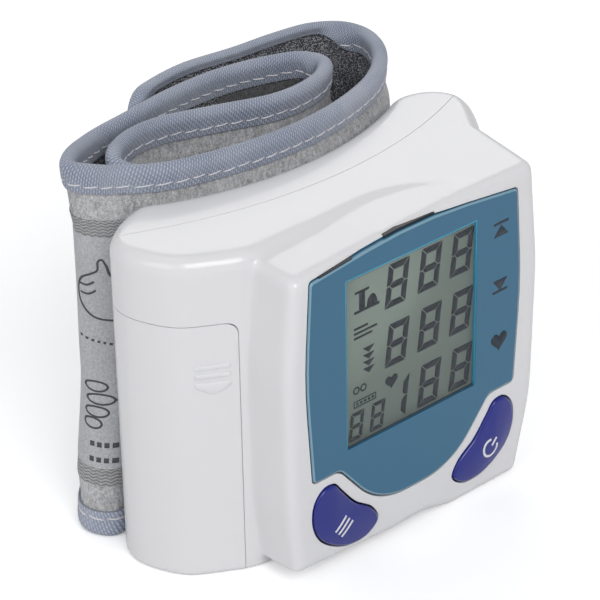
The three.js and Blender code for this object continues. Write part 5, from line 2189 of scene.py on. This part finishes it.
@dataclass
class Cuff:
    """The soft cuff: felt and knitted mesh, tapes folded over its rims, stitches, label and hook tape."""

    band: Band = field(default_factory=Band)
    cloth: float = 0.6
    cloth_steps: tuple[int, int] = (420, 64)
    seam_room: float = 0.35
    gather_reach: float = 3.0
    ripple: Pair = (0.05, 6.6)
    slow_wave: Pair = (0.13, 47)
    fold_rise: float = 0.10
    fold_marks: Quad = (13.5, 15.5, 19, 20.5)
    tape_width: float = 5.0
    tape_wall: float = 0.5
    tape_half: float = 1.5
    pinch: float = 0.3
    hem: tuple[Triple, ...] = ((0.34, 0, 0.15), (0.22, -0.45, 0.3))
    above_row: tuple[Triple, ...] = ((0.12, -0.75, 0.35), (0, -1.9, 0.0))
    rim_share: float = 0.95
    corner: float = 5.4
    stitch_row: float = 3.6
    stitch_pitch: float = 3.0
    stitch_length: float = 2.6
    stitch_radius: float = 0.15
    stitch_pull: float = 0.13
    stitch_slip: float = 0.07
    stitch_lean: float = 0.16
    stitch_arch: tuple[float, ...] = (-0.14, 0.0, 0.05, 0.07, 0.05, 0.0, -0.14)
    stitch_girth: tuple[float, ...] = (0.45, 0.9, 1, 1, 1, 0.9, 0.45)
    tape_sheet_width: float = 13.0
    roll_share: float = 0.6
    roll_marks: Quad = (0.3, 1.2, 5.2, 6.8)
    least_share: float = 0.9
    pleats: tuple[tuple[float, ...], ...] = ((5.0, 5.9, 7.2, 2.3, 12.0), (23.8, 24.4, 25.2, 0.9, 9.0))
    pleat_depths: Pair = (0.2, 2.6)
    label_marks: Pair = (15.2, 18.1)
    drawing_mark: float = 16.45
    hand: tuple[Pair, ...] = (
        (-6.0, 36.3), (-2.6, 36.2), (-1.9, 38.4), (-1.3, 39.4), (-0.7, 39.0), (-0.5, 37.4), (0.6, 36.6),
        (2.0, 35.6), (2.8, 33.6), (2.6, 31.4), (1.6, 29.6), (0.2, 28.5), (-2.4, 28.0), (-6.0, 27.8),
    )
    fingers: tuple[tuple[Pair, ...], ...] = (
        ((0.1, 35.2), (1.3, 34.4), (2.5, 34.3)), ((-0.1, 33.6), (1.1, 32.8), (2.4, 32.7)),
    )
    loops: tuple[Triple, ...] = ((0.9, 15.2, 1.7), (0.3, 12.8, 2.1), (0.9, 10.4, 1.8), (1.5, 8.2, 1.4))
    loop_half: float = 0.95
    pointer: tuple[tuple[Pair, ...], ...] = (
        ((-1.8, 12.8), (-2.8, 12.8)), ((-2.8, 12.8), (-3.4, 13.6)), ((-2.8, 12.8), (-3.4, 12.0)),
    )
    drawn_line: float = 0.34
    dots: Triple = (-4.6, 2.8, 0.88)
    dot_size: Pair = (0.42, 0.42)
    dot_rows: Pair = (23.9, 24.0)
    dot_slope: float = 0.2
    print_rows: Pair = (4.4, 1.6)
    print_blocks: Triple = (-6.6, 1.8, 1.1)
    print_size: Pair = (0.7, 0.9)
    ink_thick: float = 0.06
    bladder_marks: Pair = (3, 13.5)
    bladder_heights: Pair = (11.5, 59)
    bladder_thick: float = 0.8
    bladder_corner: float = 3.0
    bladder_gap: float = 0.1
    label_heights: Pair = (13.5, 57)
    label_corner: float = 4.0
    label_lift: float = 0.1
    label_thick: float = 0.22
    web_height: float = 3.2
    web_past: Pair = (0.6, 1.2)
    web_overlap: float = 0.4
    web_corner: float = 0.4
    web_thick: float = 0.2
    patch_marks: Pair = (21.9, 24.3)
    patch_room: float = 5.4
    patch_thick: float = 0.5
    patch_corner: float = 1.5
    patch_lift: float = 0.05
    corner_steps: int = 9
    side_steps: int = 40
    across_steps: int = 48

    @property
    def margin(self) -> float:
        """How far the cloths' edges stay in from the rim."""
        return self.tape_wall + self.seam_room

    def wrinkle(self, marks: np.ndarray, z: np.ndarray) -> np.ndarray:
        """Give the soft waves of the cloth: a gathered edge by the seams and slow waves between.

        Args:
            marks: Where along the band.
            z: The height.

        Returns:
            How far the cloth stands out.
        """
        along = self.band.length_at(marks)
        near_rim = np.minimum(z, self.band.height - z)
        gather = np.exp(-np.maximum(near_rim - self.tape_width, 0) / self.gather_reach)
        rise, length = self.ripple
        ripple = rise * np.sin(along * math.tau / length + 1.3 * np.sin(z * 0.11))
        rise, length = self.slow_wave
        slow = rise * np.sin(along * 0.21 + 0.06 * z) * np.sin(z * math.tau / length + along * 0.05 + 0.8)
        folds = self.fold_rise * np.sin(along * 0.9 + 1.1 * np.sin(z * 0.14)) * smooth_step(near_rim, 6, 20)
        bent = hump(marks, *self.fold_marks)
        return gather * ripple + (slow + folds * bent) * smooth_step(near_rim, 6, 12)

    def pleat(self, marks: np.ndarray, z: np.ndarray) -> np.ndarray:
        """Tell how far the inner side buckles inwards: a steep crease, then a long soft back.

        Args:
            marks: Where along the band.
            z: The height.

        Returns:
            The distance.
        """
        deep = self.band.height - z
        top, full = self.pleat_depths
        return sum(
            rise * hump(marks, start, crest, crest, end) * hump(deep, top, full, full, reach)
            for start, crest, end, rise, reach in self.pleats
        )

    def cloth_sheet(self, side: int, name: str, steps: int, rows: int) -> Mesh:
        """Make one of the cuff's two cloths.

        Args:
            side: 1 for the felt outside, -1 for the mesh inside.
            name: The mesh's name.
            steps: How many stations there are along the band.
            rows: How many rows there are between the rims.

        Returns:
            The closed mesh, with its flat map.
        """
        band = self.band
        margin = self.margin
        marks = band.mark_at(np.linspace(margin, band.length - margin, steps))
        rings, flat = [], []
        for mark in marks:
            along = float(band.length_at(mark))
            short = max(self.corner - min(along, band.length - along), 0)
            rim = float(band.drop(mark)) + margin + self.corner - math.sqrt(self.corner**2 - short**2)
            z = np.linspace(rim, band.height - rim, rows)
            face = band.half_width(mark, z) + self.wrinkle(mark, z) * side
            if side < 0:
                face = face + self.pleat(mark, z)
            outer = band.place(mark, side * face, z)
            inner = band.place(mark, side * (face - self.cloth), z)
            rings.append([to_frame(*p) for p in (*outer, *inner[::-1])])
            flat += [(along, height) for height in (*z, *z[::-1])]
        mesh = skin(name, rings)
        add_flat_map(mesh, flat)
        sharpen(mesh, 70)
        return mesh

    def tape_profile(self) -> list[Triple]:
        """List the tape's section, [out, down from the rim, how much a stitch pulls it in], once round.

        Returns:
            The section's points.
        """
        half, wall = self.tape_half, self.tape_wall
        row = self.stitch_row
        outer = [(half - thin, self.tape_width + rise, pull) for thin, rise, pull in self.hem]
        outer.append((half - self.pinch, row, 1.0))
        outer += [(half - thin, row + rise, pull) for thin, rise, pull in self.above_row]
        for a in np.linspace(math.pi / 2, 0, 7):
            outer.append((half * math.sin(a), half * (1 - math.cos(a)) * self.rim_share, 0.0))
        outer += [(-out, down, pull) for out, down, pull in outer[-2::-1]]
        made = list(outer)
        for out, down, pull in outer[::-1]:
            made.append((out - math.copysign(min(wall, abs(out)), out), max(down, wall), pull))
        return made

    @property
    def rim_length(self) -> float:
        """Length of the way along one rim, with its two rounded corners and half of each end."""
        ends = self.band.height - 2 * self.corner
        return ends + self.corner * math.pi + self.band.length - 2 * self.corner

    def rim_mark(self, along: np.ndarray) -> np.ndarray:
        """Tell which mark of the band lies at a distance along its edge, between the corners."""
        start = self.band.height / 2 - (2 - math.pi / 2) * self.corner
        return self.band.mark_at(np.maximum(along - start, 0))

    def rim_place(self, upper: bool, along: np.ndarray, out: np.ndarray, inward: np.ndarray) -> np.ndarray:
        """Find points near the cuff's edge, which runs up one end, along a rim and down the other end.

        Args:
            upper: Whether it is the top rim.
            along: How far along the edge.
            out: How far out from the middle of the cloths.
            inward: How far in from the edge.

        Returns:
            Rows of [x, depth, z].
        """
        band, radius = self.band, self.corner
        end = band.height / 2 - radius
        turn = radius * math.pi / 2
        straight = band.length - 2 * radius
        along, out, inward = np.broadcast_arrays(along, out, inward)
        first = np.clip((along - end) / radius, 0, math.pi / 2)
        second = np.clip((along - end - turn - straight) / radius, 0, math.pi / 2)
        run = np.clip(along - end - turn, 0, straight)
        rest = np.maximum(end - along, 0) + np.maximum(along - end - 2 * turn - straight, 0)
        flat = radius - radius * np.cos(first) + run - radius * (1 - np.sin(second)) + radius
        down = radius * (1 - np.sin(first)) + radius * (1 - np.cos(second)) + rest
        flat = flat + inward * (np.cos(first) - np.sin(second))
        down = down + inward * (np.sin(first) + np.cos(second) - 1)
        mark = band.mark_at(flat)
        down = down + band.drop(mark)
        return band.place(mark, out, band.height - down if upper else down)

    def inner_share(self, mark: np.ndarray) -> np.ndarray:
        """Tell how wide the tape's inner side is: it rolls outwards along the far wall."""
        return 1 - self.roll_share * hump(mark, *self.roll_marks)

    def tape(self, upper: bool, name: str, steps: int) -> Mesh:
        """Make the tape that is folded over one rim and over half of each end.

        Args:
            upper: Whether it is the top rim's.
            name: The mesh's name.
            steps: How many stations there are along it.

        Returns:
            The closed mesh, with its flat map.
        """
        profile = np.array(self.tape_profile())
        spans = np.linalg.norm(np.diff(profile[:, :2], axis=0), axis=1)
        walk = np.concatenate([[0], np.cumsum(spans)])
        rings, flat = [], []
        for along in np.linspace(0, self.rim_length, steps):
            pull = self.stitch_pull * math.cos(along / self.stitch_pitch * math.tau)
            out = profile[:, 0] - np.sign(profile[:, 0]) * profile[:, 2] * pull
            down = profile[:, 1]
            if upper:
                inside = profile[:, 0] < 0
                mark = self.rim_mark(along)
                down = down * np.where(inside, self.inner_share(mark), 1)
                height = self.rim_place(upper, along, out, down)[:, 2]
                out = out - np.where(inside, self.pleat(mark, height), 0)
            ring = self.rim_place(upper, along, out, down)
            rings.append([to_frame(*p) for p in ring])
            flat += [(along, across) for across in walk]
        mesh = skin(name, rings)
        add_flat_map(mesh, flat)
        sharpen(mesh, 70)
        return mesh

    def stitches(self, upper: bool) -> Mesh:
        """Make the stitches of one tape, on both of its faces.

        Args:
            upper: Whether it is the top rim's.

        Returns:
            All the stitches as one mesh.
        """
        made = []
        rng = np.random.default_rng(7 if upper else 11)
        arch = np.array(self.stitch_arch)
        shares = np.linspace(-0.5, 0.5, len(arch))
        for k in range(int(self.rim_length / self.stitch_pitch)):
            centre = (k + 0.5) * self.stitch_pitch
            for side in (1, -1):
                slip, lift = rng.normal(0, self.stitch_slip, 2)
                if upper and side < 0 and self.inner_share(self.rim_mark(centre)) < self.least_share:
                    continue
                along = centre + shares * self.stitch_length
                out = side * (self.tape_half - self.pinch + arch + CLEAR)
                inward = self.stitch_row + shares * 2 * self.stitch_lean + slip + lift * 0.4
                if upper and side < 0:
                    place = self.rim_place(upper, along, out, inward)
                    out = out - self.pleat(self.rim_mark(along), place[:, 2])
                made.append(self.thread(self.rim_place(upper, along, out, inward)))
        return merge("stitches", made)

    def thread(self, route: np.ndarray) -> Mesh:
        """Make one stitch: a short thick thread with rounded ends.

        Args:
            route: Rows of [x, depth, z] along it.

        Returns:
            The closed mesh.
        """
        rings = []
        turns = np.linspace(0, math.tau, 8, endpoint=False)
        for i, (point, girth) in enumerate(zip(route, self.stitch_girth)):
            heading = Vector(route[min(i + 1, len(route) - 1)] - route[max(i - 1, 0)]).normalized()
            side = heading.cross(Vector((0, 0, 1))).normalized()
            over = side.cross(heading)
            radius = self.stitch_radius * girth
            ring = [Vector(point) + (side * math.cos(a) + over * math.sin(a)) * radius for a in turns]
            rings.append([to_frame(*p) for p in ring])
        return skin("stitch", rings)

    def patch(
        self, marks: Pair, heights: Pair, corner: float, side: int, lift: float, thick: float, name: str
    ) -> Mesh:
        """Make a flat piece with rounded corners that lies on one of the cloths.

        Args:
            marks: Where it starts and ends along the band.
            heights: Its lowest and highest place.
            corner: The radius of its corners.
            side: 1 on the felt, -1 on the mesh.
            lift: How far it lies off the cloth.
            thick: How thick it is.
            name: The mesh's name.

        Returns:
            The closed mesh, with its flat map.
        """
        band = self.band
        start, end = band.length_at(np.array(marks))
        low, high = heights
        rise = corner * (1 - np.cos(np.linspace(0, math.pi / 2, self.corner_steps)))
        middle = np.linspace(low + corner, high - corner, self.side_steps)[1:-1]
        z = np.concatenate([low + rise, middle, (high - rise)[::-1]])
        short = np.maximum(corner - np.minimum(z - low, high - z), 0)
        pull = corner - np.sqrt(np.maximum(corner**2 - short**2, 0))
        across = np.linspace(0, 1, self.across_steps)
        rings, flat = [], []
        for height, inward in zip(z, pull):
            along = start + inward + across * (end - start - 2 * inward)
            place = band.mark_at(along)
            face = band.half_width(place, height) + self.wrinkle(place, height) * side + lift
            inner = band.place(place, side * face, height)
            outer = band.place(place, side * (face + thick), height)
            rings.append([to_frame(*p) for p in (*outer, *inner[::-1])])
            flat += [(a, height) for a in (*along, *along[::-1])]
        mesh = skin(name, rings)
        add_flat_map(mesh, flat)
        sharpen(mesh, 60)
        return mesh

    def line_on_label(self, path: Sequence[Pair], width: float) -> Mesh:
        """Print a line on the label.

        Args:
            path: Points [along the label from the drawing's own mark, up from its foot].
            width: How wide it is.

        Returns:
            A thin closed strip.
        """
        band = self.band
        start = float(band.length_at(self.drawing_mark))
        if len(path) > 2:
            points = np.array(curve_through(path, max(10, len(path) * 6)))
        else:
            points = np.linspace(*np.array(path), 12)
        heading = np.gradient(points, axis=0)
        heading /= np.linalg.norm(heading, axis=1)[:, None]
        side = np.stack([-heading[:, 1], heading[:, 0]], axis=1) * width / 2
        foot = self.label_lift + self.label_thick - CLEAR
        corners = [(-1, foot), (1, foot), (1, foot + self.ink_thick), (-1, foot + self.ink_thick)]
        rings = []
        for point, offset in zip(points, side):
            ring = []
            for sign, lift in corners:
                along, up = point + offset * sign
                mark = band.mark_at(start + along)
                z = self.label_heights[0] + up
                face = band.half_width(mark, z) + self.wrinkle(mark, z) + lift
                ring.append(to_frame(*band.place(mark, face, z)))
            rings.append(ring)
        return skin("line", rings)

    def drawing(self) -> list[Mesh]:
        """Draw the label's generic picture: a hand, dots, four fingers, an arrow and blocks of print.

        Returns:
            A thin strip for each line.
        """
        turns = np.linspace(0, math.tau, 13)
        loops = [
            [(x + half * math.cos(a), up + self.loop_half * math.sin(a)) for a in turns]
            for x, up, half in self.loops
        ]
        made = [
            self.line_on_label(path, self.drawn_line)
            for path in (self.hand, *self.fingers, *loops, *self.pointer)
        ]
        length, width = self.dot_size
        start, end = self.dot_rows
        for x in np.arange(*self.dots):
            rise = x * self.dot_slope
            made.append(self.line_on_label([(x, start + rise), (x + length, end + rise)], width))
        length, width = self.print_size
        for up in self.print_rows:
            for x in np.arange(*self.print_blocks):
                made.append(self.line_on_label([(x, up), (x + length, up)], width))
        return made

    def build(self) -> None:
        """Build every piece of the cuff."""
        quick = 1
        steps, rows = (count // quick for count in self.cloth_steps)
        mesh = self.cloth_sheet(1, "felt", steps, rows)
        felt = piece("cuff_felt", mesh, PALETTE.felt, replaces=["cuff_outer_cloth"])
        mesh = self.cloth_sheet(-1, "lining", steps, rows)
        nodes = ["cuff_inner_cloth"]
        lining = piece("cuff_lining", mesh, PALETTE.sparkle, replaces=nodes)
        steps = int(self.rim_length / self.stitch_pitch * 6) // quick
        tapes = [self.bind(upper, word, steps) for upper, word in ((True, "upper"), (False, "lower"))]
        label, drawing = self.lay_label()
        self.lay_inside()
        length = self.band.length * MM
        self.label_flat()

    def bind(self, upper: bool, word: str, steps: int) -> tuple[Object, Object]:
        """Build the tape of one rim and its stitches.

        Args:
            upper: Whether it is the top rim's.
            word: The word for it in the pieces' names.
            steps: How many stations the tape has.

        Returns:
            The tape and its stitches.
        """
        nodes = [f"cuff_tape_{word}"]
        mesh = self.tape(upper, word, steps)
        tape = piece(f"tape_{word}", mesh, PALETTE.tape, replaces=nodes)
        return tape, piece(f"stitches_{word}", self.stitches(upper), PALETTE.thread)

    def lay_label(self) -> tuple[Object, Object]:
        """Build the label with its drawing, and the webs above and below it.

        Returns:
            The label and its drawing.
        """
        heights = self.label_heights
        mesh = self.patch(
            self.label_marks, heights, self.label_corner, 1, self.label_lift, self.label_thick, "label"
        )
        label = piece("cuff_label_print", mesh, PALETTE.label, replaces=["cuff_label"])
        drawing = piece("cuff_label_lines", merge("lines", self.drawing()), PALETTE.label_ink)
        before, after = self.web_past
        marks = (self.label_marks[0] - before, self.label_marks[1] + after)
        low, high = heights
        tall, over = self.web_height, self.web_overlap
        for word, run in (("upper", (high - over, high + tall)), ("lower", (low - tall, low + over))):
            mesh = self.patch(marks, run, self.web_corner, 1, CLEAR, self.web_thick, word)
            piece(f"cuff_web_{word}", mesh, PALETTE.zigzag)
        return label, drawing

    def lay_inside(self) -> None:
        """Build the air bladder between the cloths and the fastening patch on the lining."""
        thick = self.bladder_thick
        sunk = -self.cloth - self.bladder_gap - thick
        mesh = self.patch(
            self.bladder_marks, self.bladder_heights, self.bladder_corner, 1, sunk, thick, "bladder"
        )
        piece("cuff_air_bladder", mesh, PALETTE.silicone, replaces=["cuff_bladder"])
        heights = (self.patch_room, self.band.height - self.patch_room)
        mesh = self.patch(
            self.patch_marks, heights, self.patch_corner, -1, self.patch_lift, self.patch_thick, "hook"
        )
        piece("hook_patch_cloth", mesh, PALETTE.hook, replaces=["hook_patch"])

    def label_flat(self) -> Pair:
        """Give the label's height and width laid flat, in metres.

        Returns:
            The height and the width.
        """
        band = self.band
        marks = np.linspace(*self.label_marks, 90)
        middle = band.height / 2
        out = band.half_width(marks, middle) + self.label_lift + self.label_thick
        spans = np.linalg.norm(np.diff(band.place(marks, out, middle), axis=0), axis=1)
        low, high = self.label_heights
        return ((high - low) * MM, float(spans.sum()) * MM)


# Inside


def dress_inside(frame: dict) -> None:
    """Dress the CAD nodes that stay as they are: board, switches, battery bay and air system.
    """
    dress(frame, PALETTE.film, "lcd_glass")
    dress(frame, PALETTE.dark, "lcd_holder", "controller_chip", "pressure_sensor", "buzzer", "memory_plunger",
          "power_plunger", "pump_head", "release_valve", "air_tee", "air_nozzle")
    dress(frame, PALETTE.laminate, "circuit_board")
    dress(frame, PALETTE.grey, "battery_tray", "cuff_plate")
    dress(frame, PALETTE.silicone, "zebra_strip", "valve_tube", "cuff_tube", "pump_tube", "sensor_tube")
    dress(frame, PALETTE.steel, "memory_switch", "power_switch", "spring_front", "spring_rear", "pump_motor",
          *[f"housing_screw_{k}" for k in range(1, 5)])
    dress(frame, PALETTE.brass, "contact_bridge", "contact_positive", "contact_negative")
    for name in ("battery_front", "battery_rear"):
        low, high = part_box(name)
        sleeve, metal, bare = (0.025, 0.03, 0.045), (0.6, 0.6, 0.6), 2.2
        cell = WrappedCell(f"{name}_wrap", sleeve, metal, bare, low.z / MM, high.z / MM)
        dress(frame, cell, name)


# Camera and studio


@dataclass
class PhotoCamera:
    """A camera at the photograph's viewing angle."""

    location: Triple = (-0.30401, -0.32294, 0.29392)
    right: Triple = (0.73660272, -0.67611591, -0.01684381)
    down: Triple = (-0.34484576, -0.3540391, -0.86933177)
    forward: Triple = (0.58180567, 0.64616066, -0.49394187)
    lens: float = 168.48
    sensor: float = 36.0

    def build(self) -> None:
        """Set up the camera."""
        data = bpy.data.cameras.new("photo_camera")
        data.lens = self.lens
        data.sensor_width = self.sensor
        data.clip_start = 0.01
        data.clip_end = 20
        camera = bpy.data.objects.new("photo_camera", data)
        bpy.context.scene.collection.objects.link(camera)
        axes = Matrix((self.right, [-v for v in self.down], [-v for v in self.forward])).transposed()
        camera.matrix_world = Matrix.Translation(Vector(self.location)) @ axes.to_4x4()
        bpy.context.scene.camera = camera


@dataclass
class Studio:
    """A pale floor, an even pale surround and soft lamps at a plain level."""

    floor_size: float = 6.0
    floor_colour: Rgb = (0.86, 0.86, 0.87)
    world_colour: Rgb = (0.93, 0.94, 0.96)
    world_strength: float = 0.48
    floor_lift: float = 0.25
    target: Triple = (0, 0.01, 0.035)

    def lamp(self, name: str, place: Triple, size: Pair, power: float) -> None:
        """Hang a soft rectangular lamp that faces the object.

        Args:
            name: The lamp's name.
            place: Where it hangs, in metres.
            size: Its width and height in metres.
            power: Its power in watts.
        """
        data = bpy.data.lights.new(name, "AREA")
        data.shape = "RECTANGLE"
        data.size, data.size_y = size
        data.energy = power
        made = bpy.data.objects.new(name, data)
        made.location = place
        made.rotation_mode = "QUATERNION"
        made.rotation_quaternion = (Vector(self.target) - Vector(place)).to_track_quat("-Z", "Y")
        bpy.context.scene.collection.objects.link(made)

    def surround(self) -> None:
        """Light the scene from all sides and show white behind the object."""
        world = bpy.data.worlds.new("surround")
        bpy.context.scene.world = world
        world.use_nodes = True
        nodes = Nodes(world.node_tree)
        path = nodes.node("LightPath").outputs
        shown = nodes.maths("ADD", path["Is Camera Ray"], path["Is Transmission Ray"], clamp=True)
        light = nodes.node("Background", {"Color": self.world_colour, "Strength": self.world_strength})
        white = nodes.node("Background", {"Color": (1.0, 1.0, 1.0), "Strength": 1.0})
        mixed = nodes.node("MixShader", {0: shown, 1: light, 2: white})
        nodes.node("OutputWorld", {"Surface": mixed})

    def floor(self) -> None:
        """Lay a pale floor that keeps the object's shadow."""
        half = self.floor_size / 2
        corners = [(-half, -half, 0), (half, -half, 0), (half, half, 0), (-half, half, 0)]
        mesh = new_mesh("floor", corners, [(0, 1, 2, 3)], False)
        floor = new_object("studio_floor", mesh)
        graph = Graph("floor_paper")
        seen = graph.node("LightPath").outputs["Is Camera Ray"]
        dark = tuple(c * 0.995 for c in self.floor_colour)
        paper = graph.mix(graph.noise(400, detail=3), dark, self.floor_colour)
        graph.set(Base_Color=graph.mix(seen, paper, (1.0, 1.0, 1.0)), Roughness=0.8)
        graph.set(Emission_Color=(1.0, 1.0, 1.0))
        graph.set(Emission_Strength=graph.maths("MULTIPLY", seen, self.floor_lift))
        mesh.materials.append(graph.material)
        floor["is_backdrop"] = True

    def build(self) -> None:
        """Set up floor, surround and lamps."""
        self.floor()
        self.surround()
        self.lamp("key", (-0.35, -0.95, 0.95), (0.7, 0.7), 7.1)
        self.lamp("side", (-1.15, -0.1, 0.75), (0.8, 0.8), 3.0)
        self.lamp("top", (-0.15, 0.3, 1.2), (0.8, 0.5), 0.6)
        self.lamp("behind", (0.7, 1.0, 0.7), (0.9, 0.6), 2.6)


def write_sizes(cad: tuple[Vector, Vector]) -> None:
    """Log the CAD box and the visual model's box.

    Args:
        cad: The lowest and the highest corner of the CAD box.
    """
    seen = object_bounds()
    rows = {"cad": [list(corner) for corner in cad], "visual": [list(corner) for corner in seen]}
    LOG.info("CAD box %s, visual box %s", rows["cad"], rows["visual"])


def main() -> None:
    """Build the monitor around its frame."""
    logging.basicConfig(level=logging.INFO, format="%(name)s: %(message)s")
    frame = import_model()
    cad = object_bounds()
    bpy.context.scene.view_settings.view_transform = "Standard"
    PhotoCamera().build()
    Studio().build()
    housing = Housing()
    cover = BatteryCover(housing)
    lens = DisplayLens()
    keys = PushKeys()
    dress_inside(frame)
    Cuff().build()
    Shells(housing, cover, lens, keys).build()
    lens.build()
    LiquidDisplay().build()
    PanelMarks().build()
    keys.build()
    write_sizes(cad)


if __name__ == "__main__":
    main()
